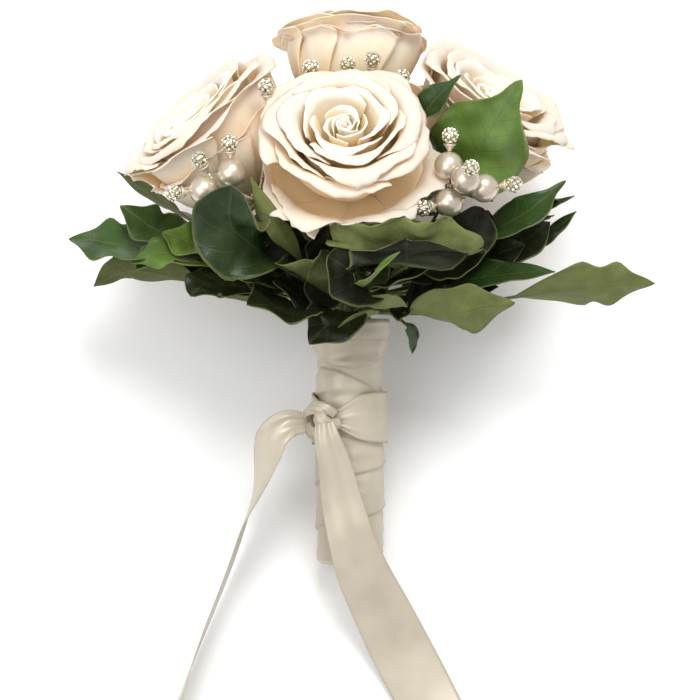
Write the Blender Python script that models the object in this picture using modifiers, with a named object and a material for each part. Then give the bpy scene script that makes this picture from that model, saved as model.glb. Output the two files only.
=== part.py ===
"""A hand-tied bridal bouquet lying on its back.

Six open roses sit in a dome over a collar of ivy leaves. Pearl picks with
crystal heads stand between the blooms. The stems run down into a handle that
is wound in satin ribbon and tied with a knot and two loose tails.

Every piece is worked out upright first, in millimetres where a table holds it:
+Z runs up the handle into the dome and -Y is the side that faces the viewer.
The whole bouquet is then laid on its back, so the viewer's side faces up and
the handle points along -Y.
"""

import math
from dataclasses import dataclass

import bmesh
import bpy
from mathutils import Matrix, Vector

MM = 0.001

# How the bouquet lies: its axis rises from the handle to the dome by LEAN.
LEAN = math.radians(19.0)
FOOT_SINK = 0.3 * MM

# The handle and the stems in it, upright, from the cut ends up.
WRAP_TOP = 105 * MM
WRAP_WALL = 1.6 * MM
WRAP_RIDGE = 0.8 * MM
WRAP_PITCH = 19 * MM
WRAP_OUTLINE = ((0, 12.6), (1.6, 14.1), (30, 14.3), (62, 14.4), (88, 14.2), (98, 15.6), (105, 16.0))
WRAP_COLUMNS = 14
WRAP_ROWS = 15
WRAP_ROW_SLANT = 0.5
BUNDLE_OUTLINE = ((0, 2.2), (10.6, 2.2), (11.6, 4), (11.6, 98), (8.6, 106), (8.6, 124), (5.5, 128), (0, 128))
BUNDLE_STEPS = 14
NECK_RADIUS = BUNDLE_OUTLINE[5][0] * MM
BRANCH_FROM = 120 * MM
BRANCH_SPREAD = 3.4 * MM
BRANCH_RISE = 8 * MM
BRANCH_BOW = 12 * MM
BRANCH_PARTS = 5
STEM_RADIUS = 2.4 * MM
HIP_OUTLINE = ((0, -1), (2.2, -1), (5.2, 5), (5.2, 7), (0, 7))
HIP_LENGTH = HIP_OUTLINE[-1][1] * MM
HIP_STEPS = 8
SEAT_GAP = 0.35 * MM

# The ribbon tied round the handle.
KNOT_TURN = -36
KNOT_HEIGHT = 62 * MM
# Each loop of the knot: how far it tips from level and how far it turns, in degrees,
# its ring's radius and its ribbon's, and how far it stands out and up.
KNOT_LOOPS = ((88, 0, 5.6, 2.4, 2.6, 0), (62, 20, 4.4, 2.4, 5.0, 1.5), (30, -30, 3.6, 2.4, 7.2, -2.5))
BAND_RADIUS = 16.2 * MM
BAND_HALF_WIDTH = 11 * MM
BAND_THICKNESS = 1.0 * MM
BAND_COLUMNS = 22
# Close to the knot the band gathers to this share of its width and stands out a little.
GATHER_SPAN = 0.22
GATHER_WIDTH = 0.36
GATHER_LIFT = 0.6 * MM
LOOP_SIDES = 9
LOOP_ROUNDNESS = 5
RIBBON_THICKNESS = 0.7 * MM
TAIL_ROWS = 18

# A bloom's heart lies this far behind the middle of its face.
BLOOM_DEPTH = 42 * MM
DOME_HEART = Vector((0, 0, 142)) * MM
PETAL_THICKNESS = 0.9 * MM
# Neighbouring blooms press each other flat: a petal starts to yield at the margin
# and keeps this far from the wall between the two.
CELL_MARGIN = 4.0 * MM
CELL_KEEP = 0.75 * MM
WIRE_CELL_KEEP = 1.8 * MM

LEAF_THICKNESS = 0.8 * MM
LEAF_ROWS = 6
LEAF_ROOT_RADIUS = NECK_RADIUS + SEAT_GAP + LEAF_THICKNESS / 2
STALK_HALF_WIDTH = 1.2 * MM
STALK_SHARE = 0.3
TIP_HALF_WIDTH = 0.5 * MM
BELLY_SHARE = 0.62
# How strongly a leaf's line bends: at its root, and on both sides of its belly.
ROOT_PULL = 0.3
BELLY_PULL = 0.33
# How soon along the blade its upper side has turned to where the table says.
FACE_START = 0.25
FACE_GAIN = 2.2
LEAF_WAVES = 9.5
LEAF_WAVE_LAG = 1.2
LEAF_WAVE_GAIN = 4
# A lobed leaf's outline: where each swelling or waist is, how wide and how strong.
LEAF_LOBES = ((0.28, 0.10, 0.25), (0.48, 0.08, -0.16), (0.64, 0.08, 0.14))
LOBED_WIDTH = 0.90
TABLE_KEEP = 1.2 * MM
TABLE_MARGIN = 3.6 * MM

PEARL_RADIUS = 6.0 * MM
PEARL_BORE = 0.9 * MM
PEARL_BANDS = 5
PEARL_STEPS = 10
WIRE_RADIUS = 0.55 * MM
SPRAY_STEM_RADIUS = 0.825 * MM
SPRAY_RISE = 10 * MM
SPRAY_STEM_PARTS = 4
WIRE_PARTS = 3
WIRE_BEND = 7.5 * MM
WIRE_BEND_LEAD = 3 * MM
WIRE_SINK = 1.5 * MM
CONE_START = 6.4 * MM
CONE_END = 9.2 * MM
CONE_RADIUS = 2.6 * MM
CONE_STEPS = 6
HEAD_RADIUS = 3.0 * MM
HEAD_SPIKE = 1.0 * MM
HEAD_GAP = 0.3 * MM

SHARP_ANGLE = math.radians(50)

# Each bloom: its face centre, the way it looks as degrees round from the viewer
# (positive to the right) and degrees up from level, its size, and the angles of
# its loose outer petals round the face.
BLOOMS = {
    "rose_front": ((-1, -63, 187), 0, 37, 1.05, (-156, -112, -36)),
    "rose_left": ((-66, -19, 196), -75, 45, 1.10, (-152, -96)),
    "rose_right": ((63, -4, 201), 68, 55, 1.06, (-120, -66)),
    "rose_top": ((0, 7, 233), 180, 80, 1.0, ()),
    "rose_back_left": ((-38, 57, 190), -143, 44, 0.98, (-90,)),
    "rose_back_right": ((38, 58, 190), 143, 44, 0.98, (-90,)),
}
RESTS_ON = ("ribbon_wrap", "rose_back_left", "rose_back_right")
WIRED_WALLS = (("rose_front", "rose_top"), ("rose_front", "rose_left"))


@dataclass(frozen=True)
class Ring:
    """A ring of petals: where its claws leave the heart, the cup's radius, the rim's
    height, how far the rim turns out and falls, half the angle that a petal covers,
    the first petal's angle, and the cells across and along a petal."""

    count: int
    claw: float
    wall: float
    rim: float
    roll: float
    drop: float
    wrap: float
    first: float
    cells: tuple


RINGS = (
    Ring(3, 13, 5.4, 39.0, 0.3, 0.2, 80, 0, (2, 2)),
    Ring(3, 10, 11.6, 41.0, 0.9, 0.6, 74, 48, (3, 2)),
    Ring(4, 7, 18.0, 40.5, 2.8, 1.4, 64, 20, (3, 3)),
    Ring(5, 4, 25.0, 37.0, 5.4, 3.4, 51, 56, (3, 3)),
)
LOOSE_RING = Ring(0, 1.5, 28.5, 23.0, 6.0, 5.0, 42, 0, (3, 3))
CLAW_RADIUS = 2.2
# A petal's wall, as shares of its ring's radius and height.
WALL_LINE = ((0.84, 0.05), (0.98, 0.55), (1.05, 1.0))
# The petal's corners are cut back by this share, its rim turns out from here on,
# and more so at its point.
CORNER_CUT = 0.24
CURL_FROM = 0.62
POINT_GAIN = 0.35
POINT_SPREAD = 0.3
# Its side edges turn out from here on, and one of them lies over the next petal.
SIDE_FROM = 0.45
SIDE_OUT = 0.55
SIDE_DROP = 0.35
OVERLAY = 1.9
# Its rim waves by this much out and up, this often across.
RUFFLE = ((0.5, 4.2, 1.0), (0.6, 5.1, 1.7))
CLAW_SHARE = 0.40
FULL_WIDTH_AT = 0.7
PETAL_SEED_STEP = 2.1
CORE_OUTLINE = ((0, 35), (1.8, 33), (3.0, 26), (4.4, 8), (4.2, 0), (0, 0))
CORE_STEPS = 6


@dataclass(frozen=True)
class Leaf:
    """One ivy leaf: the middle of its blade and its tip, half its width, the way its
    upper side looks as degrees round and up, then its outline, its edges' lift and
    wave as shares of the half width, where its wave starts and where its blade does."""

    belly: tuple
    tip: tuple
    half: float
    face: tuple
    outline: str = "pointed"
    cup: float = 0.12
    wave: float = 0.10
    phase: float = 0.0
    stalk: float = 0.38


# Each sprig: where its stalks leave the neck, as degrees round and height up the
# stems, and its leaves.
SPRIGS = {
    "sprig_far_left": ((-84, 113), (
        Leaf((-95, -14, 136), (-120, -8, 139), 17, (-20, 55), "lobed", stalk=0.42),
        Leaf((-76, -24, 131), (-90, -30, 125), 13, (-30, 60)),
    )),
    "sprig_left_under": ((-98, 108), (
        Leaf((-93, -4, 126), (-110, -2, 119), 10, (180, 55), cup=0.3),
    )),
    "sprig_left_upper": ((-72, 118), (
        Leaf((-81, -11, 142), (-98, -10, 153), 13, (-24, 50), "lobed"),
        Leaf((-66, -24, 136), (-79, -24, 141), 12, (-40, 50)),
    )),
    "sprig_left_under_rose": ((-100, 121), (
        Leaf((-74, 17, 151), (-101, 10, 169), 9, (-90, 60)),
    )),
    "sprig_left_cup": ((-34, 117), (
        Leaf((-47, -55, 140), (-48, -68, 158), 17, (-16, 12), "round", 0.25, 0.08),
        Leaf((-28, -57, 140), (-41, -72, 160), 6, (200, 12), cup=0.4),
        Leaf((-8, -32, 132), (-10, -38, 143), 11, (0, 12), "round"),
    )),
    "sprig_left_round": ((-56, 112), (
        Leaf((-58, -36, 119), (-66, -42, 114), 10, (-20, 35), "round"),
        Leaf((-48, -44, 123), (-48, -52, 120), 6, (0, 40), "round"),
    )),
    "sprig_low_left": ((-14, 107.5), (
        Leaf((-27, -44, 109), (-42, -60, 110), 16, (-15, 42), wave=0.14),
        Leaf((-5, -34, 106), (-17, -39, 94), 13, (0, 35), stalk=0.45),
    )),
    "sprig_funnel": ((-8, 113), (
        Leaf((-17, -46, 121), (-15, -62, 128), 13, (0, 70), "round", 0.6, 0.05),
    )),
    "sprig_low_middle": ((16, 107.5), (
        Leaf((12, -40, 110), (16, -60, 114), 12, (180, 62), wave=0.14),
    )),
    "sprig_wavy": ((12, 117), (
        Leaf((24, -52, 126), (27, -74, 142), 31, (180, 38), "round", 0.16, 0.16, 0.6),
        Leaf((17, -31, 133), (19, -36, 145), 11, (0, 12), "round"),
    )),
    "sprig_right_dark": ((36, 121), (
        Leaf((48, -34, 138), (55, -34, 151), 11, (14, 14), "round", 0.25),
    )),
    "sprig_green_sail": ((62, 123), (
        Leaf((51, -37, 172), (71, -44, 202), 19, (-4, 10), "pointed", 0.10, 0.08, 1.0, 0.46),
        Leaf((36, -34, 192), (46, -37, 207), 7, (-10, 14), stalk=0.6),
    )),
    "sprig_right_long": ((76, 119), (
        Leaf((71, -28, 147), (91, -22, 163), 10, (20, 50)),
        Leaf((72, -16, 137), (85, -14, 146), 10, (10, 35)),
    )),
    "sprig_right_thin": ((92, 122), (
        Leaf((77, -2, 152), (95, 2, 157), 11, (90, 80), "lobed"),
    )),
    "sprig_right_thin_low": ((102, 116), (
        Leaf((73, 8, 145), (87, 12, 149), 12, (0, 86), "lobed"),
        Leaf((80, -4, 137), (97, -4, 151), 8, (30, 68)),
    )),
    "sprig_right_low": ((56, 112), (
        Leaf((56, -34, 122), (85, -40, 124), 13, (0, 58), "lobed"),
    )),
    "sprig_far_right": ((84, 108), (
        Leaf((100, -10, 118), (130, -8, 120), 15, (180, 50), "lobed", stalk=0.42),
    )),
    "sprig_low_right": ((38, 107.5), (
        Leaf((42, -42, 107), (68, -46, 111), 14, (180, 42), wave=0.14),
    )),
    "sprig_drop": ((118, 110), (
        Leaf((25, 9, 102), (27, 6, 90), 5, (60, 20), stalk=0.55),
    )),
}

# The leaves on the far side, which follow a rule: the way each points, how far
# out its tip is, how high up the bouquet, and half its width.
FAR_LEAVES = {
    "sprig_far_1": (120, 66, 132, 15),
    "sprig_far_2": (140, 62, 142, 16),
    "sprig_far_3": (162, 58, 132, 14),
    "sprig_far_4": (186, 58, 141, 15),
    "sprig_far_5": (210, 58, 132, 14),
    "sprig_far_6": (230, 64, 142, 16),
    "sprig_far_7": (250, 70, 132, 15),
}

FAR_TIP_HEIGHT = 133
FAR_ROOT_HEIGHT = 112
FAR_ROOT_SHARE = 0.7
FAR_BELLY_DROP = 10
FAR_SWERVE = 4
FAR_FACE_RISE = 66

# Each spray of picks: where its stem leaves the neck, as degrees round and height,
# where its wires part, then for each pick the pearl's place, the way its head
# points as degrees round and up, and whether it carries a pearl.
SPRAYS = {
    "right": ((49, 122), (32, -34, 158), (
        ((40.5, -52, 167), (10, 78), True),
        ((47, -60, 161), (8, 18), True),
        ((55, -52, 158), (78, 6), True),
        ((40.5, -52, 152), (-62, -12), True),
    )),
    "left": ((-50, 121), (-38, -40, 155), (
        ((-48.5, -52, 164), (-14, 76), True),
        ((-60, -52, 157), (-78, -6), True),
        ((-55.5, -48, 160), (-50, 50), False),
        ((-34, -46, 188), (-5, 70), False),
    )),
    "top": ((-22, 121), (-9, -12, 170), (
        ((-16, -25, 199), (-4, 60), False),
        ((-1, -25, 200), (0, 62), False),
        ((9, -26, 202), (4, 62), False),
        ((20, -27, 195), (14, 56), False),
    )),
}

# The tails' middle lines: across, height over the table and up the bouquet, then
# half the width and how far the face has turned from the viewer, in degrees.
FRONT_TAIL = (
    ((-10.5, 55.9, 61), 4.0, 0),
    ((-9.5, 54.6, 54), 5.5, 0),
    ((-6.5, 48, 43), 7.0, 0),
    ((-3.5, 39.5, 28), 8.6, 0),
    ((0.5, 33.5, 12), 9.8, 0),
    ((5.5, 25, -3), 11.2, 0),
    ((13.5, 13.5, -20), 12.4, 0),
    ((22, 5.5, -37), 13.0, 0),
    ((31, 1.8, -54), 13.0, 0),
    ((40, 1.0, -72), 13.0, 0),
    ((48, 1.0, -90), 13.0, 0),
)
SIDE_TAIL = (
    ((-19.6, 51.6, 61), 4.6, 0),
    ((-26.0, 54.6, 60.5), 6.3, 4),
    ((-32, 54, 56), 8.0, 24),
    ((-35.5, 49, 48), 10.0, 44),
    ((-38.5, 42, 39), 12.0, 62),
    ((-41.5, 34, 29), 13.0, 76),
    ((-44.5, 27, 19), 13.0, 84),
    ((-50, 18.5, 2), 13.0, 86),
    ((-56.5, 15.5, -15), 13.0, 86),
    ((-63.5, 14.2, -32), 13.0, 85),
    ((-70, 13.8, -50), 13.0, 81),
    ((-76, 13.4, -66), 13.0, 74),
    ((-80, 12.0, -82), 13.0, 58),
)

COLOURS = {
    "petal": ((0.93, 0.80, 0.66), 0.55, 0.0),
    "leaf": ((0.11, 0.20, 0.06), 0.35, 0.0),
    "stem": ((0.20, 0.28, 0.10), 0.6, 0.0),
    "satin": ((0.86, 0.82, 0.72), 0.35, 0.0),
    "pearl": ((0.90, 0.87, 0.80), 0.2, 0.0),
    "wire": ((0.85, 0.74, 0.60), 0.4, 0.3),
    "crystal": ((0.80, 0.76, 0.62), 0.15, 0.8),
}

TABLE_UP = Vector((0, -math.cos(LEAN), math.sin(LEAN)))
FOOT_RISE, FOOT_RADIUS = (size * MM for size in WRAP_OUTLINE[1])
TABLE_OFFSET = FOOT_RADIUS * math.cos(LEAN) - FOOT_RISE * math.sin(LEAN) - FOOT_SINK


def heading(turn, rise):
    """A unit vector that many degrees round from the viewer's side and up from level."""
    t, r = math.radians(turn), math.radians(rise)
    return Vector((math.sin(t) * math.cos(r), -math.cos(t) * math.cos(r), math.sin(r)))


def at_neck(turn, height, radius):
    return heading(turn, 0) * radius + Vector((0, 0, height * MM))


def pressed(point, spot, away, keep, margin):
    """The point pushed back smoothly, so that it never passes the plane at spot."""
    depth = (point - spot).dot(away) + margin
    if depth <= 0:
        return point
    room = margin - keep
    return point + away * (room * (1 - math.exp(-depth / room)) - depth)


def pressed_on_table(point, keep, margin):
    return pressed(point, -TABLE_UP * TABLE_OFFSET, -TABLE_UP, keep, margin)


def bezier(share, a, b, c, d):
    left = 1 - share
    return a * left**3 + b * 3 * share * left**2 + c * 3 * share**2 * left + d * share**3


def smooth_through(stations, along):
    """A place on the Catmull-Rom curve through equally spaced stations."""
    place = along * (len(stations) - 1)
    number = min(int(place), len(stations) - 2)
    share = place - number
    a, b, c, d = (stations[max(0, min(len(stations) - 1, number + k))] for k in (-1, 0, 1, 2))
    bend = (a * 2 - b * 5 + c * 4 - d) * share**2 + (b * 3 - a - c * 3 + d) * share**3
    return b + ((c - a) * share + bend) / 2


def material(name):
    if name in bpy.data.materials:
        return bpy.data.materials[name]
    made = bpy.data.materials.new(name)
    made.use_nodes = True
    shader = made.node_tree.nodes["Principled BSDF"]
    colour, roughness, metallic = COLOURS[name]
    shader.inputs["Base Color"].default_value = (*colour, 1)
    shader.inputs["Roughness"].default_value = roughness
    shader.inputs["Metallic"].default_value = metallic
    return made


def clear_scene():
    for item in list(bpy.data.objects):
        bpy.data.objects.remove(item)


def new_collection(name):
    made = bpy.data.collections.new(name)
    bpy.context.scene.collection.children.link(made)
    return made


def mesh_object(name, mesh, collection):
    made = bpy.data.objects.new(name, mesh)
    collection.objects.link(made)
    return made


def applied(item, collection):
    """A mesh object that holds what the item's modifiers or curve make of it."""
    graph = bpy.context.evaluated_depsgraph_get()
    mesh = bpy.data.meshes.new_from_object(item.evaluated_get(graph))
    work = bmesh.new()
    work.from_mesh(mesh)
    bmesh.ops.remove_doubles(work, verts=work.verts, dist=0.001 * MM)
    work.to_mesh(mesh)
    work.free()
    made = mesh_object(item.name + "_whole", mesh, collection)
    made.matrix_world = item.matrix_world
    bpy.data.objects.remove(item)
    return made


def sheet(name, columns, rows, surface, thickness, collection):
    """A thin solid over the surface, a function of -1..1 across and 0..1 along."""
    work = bmesh.new()
    bmesh.ops.create_grid(work, x_segments=columns, y_segments=rows, size=1)
    for vert in work.verts:
        vert.co = surface(vert.co.x, (vert.co.y + 1) / 2)
    bmesh.ops.triangulate(work, faces=work.faces)
    mesh = bpy.data.meshes.new(name)
    work.to_mesh(mesh)
    work.free()
    made = mesh_object(name, mesh, collection)
    wall = made.modifiers.new("thickness", "SOLIDIFY")
    wall.thickness = thickness
    wall.offset = 0
    return applied(made, collection)


def turned(name, outline, steps, place, collection):
    """A solid of revolution from (radius, height) pairs in millimetres, from the
    top down, carried to its place by a matrix."""
    mesh = bpy.data.meshes.new(name)
    points = [(radius * MM, 0, height * MM) for radius, height in outline]
    closed = outline[0][0] > 0
    edges = [(i, (i + 1) % len(points)) for i in range(len(points) - (0 if closed else 1))]
    mesh.from_pydata(points, edges, [])
    made = mesh_object(name, mesh, collection)
    screw = made.modifiers.new("turn", "SCREW")
    screw.steps = screw.render_steps = steps
    screw.use_merge_vertices = True
    screw.merge_threshold = 0.01 * MM
    whole = applied(made, collection)
    whole.data.transform(place)
    return whole


def tube(name, points, radius, roundness, collection):
    """A closed tube along the points."""
    curve = bpy.data.curves.new(name, "CURVE")
    curve.dimensions = "3D"
    curve.bevel_depth = radius
    curve.bevel_resolution = roundness
    curve.use_fill_caps = True
    line = curve.splines.new("POLY")
    line.points.add(len(points) - 1)
    for spot, place in zip(line.points, points):
        spot.co = (*place, 1)
    return applied(mesh_object(name, curve, collection), collection)


def facing(place, way):
    """The matrix that puts +Z along the way at the place."""
    return Matrix.Translation(place) @ way.to_track_quat("Z", "Y").to_matrix().to_4x4()


def keep_main_body(mesh):
    """Drops the loose scraps and fills the sealed hollows that a Boolean can leave:
    both are islands of their own, smaller than the body."""
    work = bmesh.new()
    work.from_mesh(mesh)
    left, islands = set(work.faces), []
    while left:
        island, edge_of_it = set(), [left.pop()]
        while edge_of_it:
            face = edge_of_it.pop()
            island.add(face)
            near = {other for edge in face.edges for other in edge.link_faces} & left
            left -= near
            edge_of_it += near
        islands.append(island)
    islands.sort(key=lambda island: sum(face.calc_area() for face in island))
    for island in islands[:-1]:
        bmesh.ops.delete(work, geom=list(island), context="FACES")
    work.to_mesh(mesh)
    work.free()


def combine(base, others, operation, name):
    """Applies one Boolean on a collection of the others, and removes them."""
    group = bpy.data.collections.new(name)
    for other in others:
        group.objects.link(other)
    change = base.modifiers.new(name, "BOOLEAN")
    change.operand_type = "COLLECTION"
    change.collection = group
    change.operation = operation
    change.solver = "EXACT"
    whole = applied(base, base.users_collection[0])
    for other in others:
        bpy.data.objects.remove(other)
    bpy.data.collections.remove(group)
    keep_main_body(whole.data)
    return whole


def finished(whole, name, finish):
    whole.name = name
    whole.data.materials.clear()
    whole.data.materials.append(material(finish))
    whole.data.shade_smooth()
    whole.data.set_sharp_from_angle(angle=SHARP_ANGLE)
    return whole


def fused(name, pieces, finish):
    """One node made of all the pieces by a single union."""
    whole = combine(pieces[0], pieces[1:], "UNION", name + "_repeats") if pieces[1:] else pieces[0]
    return finished(whole, name, finish)


def petal_point(ring, middle, across, along, seed):
    """A point of a petal's middle surface in its bloom's own frame, in millimetres:
    a claw at the heart, then the cup's wall, then a rim that turns out and falls.
    One side edge lies over the next petal and the other tucks under the last."""
    reach = along * (1 - CORNER_CUT * abs(across) ** 3)
    ends = [Vector((CLAW_RADIUS, ring.claw))]
    ends += [Vector((ring.wall * wide, ring.rim * high)) for wide, high in WALL_LINE]
    ends[1].y += ring.claw
    out, up = bezier(reach, *ends)
    curl = max(0.0, (reach - CURL_FROM) / (1 - CURL_FROM)) ** 2
    out += ring.roll * curl * (1 + POINT_GAIN * math.exp(-((across / POINT_SPREAD) ** 2)))
    up -= ring.drop * curl
    side = max(0.0, (across - SIDE_FROM) / (1 - SIDE_FROM)) ** 2 * reach**2
    out += SIDE_OUT * ring.roll * side + OVERLAY * across * min(1.0, 1.6 * reach)
    up -= SIDE_DROP * ring.roll * side
    (wave_out, often_out, shift_out), (wave_up, often_up, shift_up) = RUFFLE
    out += wave_out * math.sin(often_out * across + shift_out * seed) * reach**3
    up += wave_up * math.sin(often_up * across + shift_up * seed) * reach**3
    spread = ring.wrap * (CLAW_SHARE + (1 - CLAW_SHARE) * min(1.0, reach / FULL_WIDTH_AT))
    angle = math.radians(middle + across * spread)
    return Vector((out * math.cos(angle), out * math.sin(angle), up))


def bloom_frame(name):
    """The matrix that carries a bloom from its own frame to its place."""
    centre, turn, rise, size, _ = BLOOMS[name]
    look = heading(turn, rise)
    right = heading(turn + 90, 0)
    face_up = look.cross(right)
    base = Vector(centre) * MM - look * BLOOM_DEPTH * size
    turned_to = Matrix((right, face_up, look)).transposed().to_4x4()
    return Matrix.Translation(base) @ turned_to @ Matrix.Scale(size, 4)


def bloom_walls(name):
    """The planes between a bloom and its neighbours, as (spot, way out, keep).
    More is kept at the walls where wires come up."""
    own = Vector(BLOOMS[name][0]) * MM
    walls = []
    for other, (centre, *_) in BLOOMS.items():
        if other == name:
            continue
        middle = (own + Vector(centre) * MM) / 2
        outward = (middle - DOME_HEART).normalized()
        away = Vector(centre) * MM - own
        away = (away - outward * away.dot(outward)).normalized()
        wired = (name, other) in WIRED_WALLS or (other, name) in WIRED_WALLS
        keep = WIRE_CELL_KEEP if wired else CELL_KEEP
        walls.append((middle, away, keep))
    return walls


def petal(name, ring, middle, number, frame, walls, collection):
    def surface(across, along):
        point = frame @ (petal_point(ring, middle, across, along, PETAL_SEED_STEP * number) * MM)
        for spot, away, keep in walls:
            point = pressed(point, spot, away, keep, CELL_MARGIN)
        return pressed_on_table(point, -FOOT_SINK, CELL_MARGIN)

    return sheet(name, *ring.cells, surface, PETAL_THICKNESS, collection)


def bloom(name, collection):
    frame, walls = bloom_frame(name), bloom_walls(name)
    places = [(ring, ring.first + k * 360 / ring.count) for ring in RINGS for k in range(ring.count)]
    places += [(LOOSE_RING, angle) for angle in BLOOMS[name][4]]
    pieces = [turned(name + "_core", CORE_OUTLINE, CORE_STEPS, frame, collection)]
    for number, (ring, middle) in enumerate(places):
        pieces.append(petal(f"{name}_petal_{number}", ring, middle, number, frame, walls, collection))
    return fused(name, pieces, "petal")


def outline_share(kind, share):
    """A leaf's half width along its blade, as a share of its widest."""
    if kind == "round":
        return math.sin(math.pi * min(share, 0.999) ** 0.8) ** 0.55
    width = math.sin(math.pi * share**0.72) ** 0.9
    if kind == "lobed":
        width *= LOBED_WIDTH
        for middle, spread, gain in LEAF_LOBES:
            width *= 1 + gain * math.exp(-(((share - middle) / spread) ** 2))
    return width


def leaf_line(root, leaf, along):
    """A place on the leaf's rib: out of the neck, through the belly, to the tip."""
    belly, tip = Vector(leaf.belly) * MM, Vector(leaf.tip) * MM
    outward = Vector((root.x, root.y, 0)).normalized()
    reach = (belly - root).length
    after = (tip - root).normalized()
    if along < BELLY_SHARE:
        share = along / BELLY_SHARE
        before_belly = belly - after * reach * BELLY_PULL
        return bezier(share, root, root + outward * reach * ROOT_PULL, before_belly, belly)
    share = (along - BELLY_SHARE) / (1 - BELLY_SHARE)
    past_belly = belly + after * (tip - belly).length * BELLY_PULL
    return bezier(share, belly, past_belly, tip.lerp(belly, BELLY_PULL), tip)


def leaf_blade(name, root, leaf, collection):
    def surface(across, along):
        point = leaf_line(root, leaf, along)
        way = (leaf_line(root, leaf, min(1, along + 0.02)) - leaf_line(root, leaf, max(0, along - 0.02))).normalized()
        rising = (Vector((0, 0, 1)) - way * way.z).normalized()
        looking = heading(*leaf.face)
        looking = (looking - way * looking.dot(way)).normalized()
        share = max(0.0, (along - leaf.stalk) / (1 - leaf.stalk))
        upper = looking
        if rising.dot(looking) > -0.5:
            upper = rising.lerp(looking, min(1.0, FACE_START + FACE_GAIN * share))
        upper = (upper - way * upper.dot(way)).normalized()
        half = leaf.half * MM * outline_share(leaf.outline, share) if share > 0 else 0
        half = max(half, STALK_HALF_WIDTH if share < STALK_SHARE else TIP_HALF_WIDTH)
        wave = math.sin(LEAF_WAVES * share + leaf.phase + LEAF_WAVE_LAG * across)
        lift = (leaf.cup + leaf.wave * wave * min(1, LEAF_WAVE_GAIN * share)) * across**2 * half
        side = way.cross(upper)
        return pressed_on_table(point + side * across * half + upper * lift, TABLE_KEEP, TABLE_MARGIN)

    return sheet(name, 2, LEAF_ROWS, surface, LEAF_THICKNESS, collection)


def sprig(name, collection):
    (turn, height), leaves = SPRIGS[name]
    root = at_neck(turn, height, LEAF_ROOT_RADIUS)
    blades = [leaf_blade(f"{name}_leaf_{i}", root, leaf, collection) for i, leaf in enumerate(leaves)]
    return fused(name, blades, "leaf")


def far_leaf(name, collection):
    """A leaf on the side that lies down: it leaves the neck level and turns up."""
    turn, reach, height, half = FAR_LEAVES[name]
    root = at_neck(turn, FAR_ROOT_HEIGHT + (height - FAR_TIP_HEIGHT) * FAR_ROOT_SHARE, LEAF_ROOT_RADIUS)
    belly = heading(turn, 0) * reach * BELLY_SHARE + Vector((0, 0, height - FAR_BELLY_DROP))
    tip = heading(turn + FAR_SWERVE, 0) * reach + Vector((0, 0, height))
    leaf = Leaf(tuple(belly), tuple(tip), half, (turn, FAR_FACE_RISE), "lobed", phase=turn)
    return fused(name, [leaf_blade(name, root, leaf, collection)], "leaf")


def stem_bundle(collection):
    """The bound stems: one bundle in the handle, its neck, and a branch with a hip
    under each bloom."""
    pieces = [turned("bundle", BUNDLE_OUTLINE[::-1], BUNDLE_STEPS, Matrix(), collection)]
    for name, (_, turn, _, _, _) in BLOOMS.items():
        frame = bloom_frame(name)
        base = frame @ Vector()
        look = (frame @ Vector((0, 0, 1)) - base).normalized()
        waist = base - look * (SEAT_GAP + HIP_LENGTH)
        root = at_neck(turn, BRANCH_FROM / MM, BRANCH_SPREAD)
        bow = waist - look * BRANCH_BOW
        lift = Vector((0, 0, BRANCH_RISE))
        route = [bezier(k / BRANCH_PARTS, root, root + lift, bow, waist) for k in range(BRANCH_PARTS + 1)]
        pieces.append(tube(name + "_stem", route, STEM_RADIUS, 1, collection))
        pieces.append(turned(name + "_hip", HIP_OUTLINE[::-1], HIP_STEPS, facing(waist, look), collection))
    return fused("stem_bundle", pieces, "stem")


def wrap_radius(height):
    for (low, start), (high, end) in zip(WRAP_OUTLINE, WRAP_OUTLINE[1:]):
        if height <= high * MM:
            return (start + (end - start) * (height / MM - low) / (high - low)) * MM
    return WRAP_OUTLINE[-1][1] * MM


def ribbon_wrap(collection):
    """The sleeve of wound ribbon, closed under the stems: each turn's lower edge
    stands out over the turn below it."""

    def surface(across, along):
        row = round(along * WRAP_ROWS)
        if row == 0:
            return Vector()
        if row <= 2:
            height = FOOT_RISE * (row - 1)
            return heading(180 * across, 0) * wrap_radius(height) + Vector((0, 0, height))
        height = FOOT_RISE + (WRAP_TOP - FOOT_RISE) * (row - 2) / (WRAP_ROWS - 2)
        radius = wrap_radius(height) + WRAP_RIDGE * (1 - (height / WRAP_PITCH - across * WRAP_ROW_SLANT) % 1)
        return heading(180 * across, 0) * radius + Vector((0, 0, height))

    work = bmesh.new()
    bmesh.ops.create_grid(work, x_segments=WRAP_COLUMNS, y_segments=WRAP_ROWS, size=1)
    for vert in work.verts:
        vert.co = surface(vert.co.x, (vert.co.y + 1) / 2)
    bmesh.ops.remove_doubles(work, verts=work.verts, dist=0.01 * MM)
    bmesh.ops.triangulate(work, faces=work.faces)
    bmesh.ops.recalc_face_normals(work, faces=work.faces)
    mesh = bpy.data.meshes.new("ribbon_wrap")
    work.to_mesh(mesh)
    work.free()
    made = mesh_object("ribbon_wrap", mesh, collection)
    wall = made.modifiers.new("wall", "SOLIDIFY")
    wall.thickness = WRAP_WALL
    wall.offset = -1
    return fused("ribbon_wrap", [applied(made, collection)], "satin")


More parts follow.
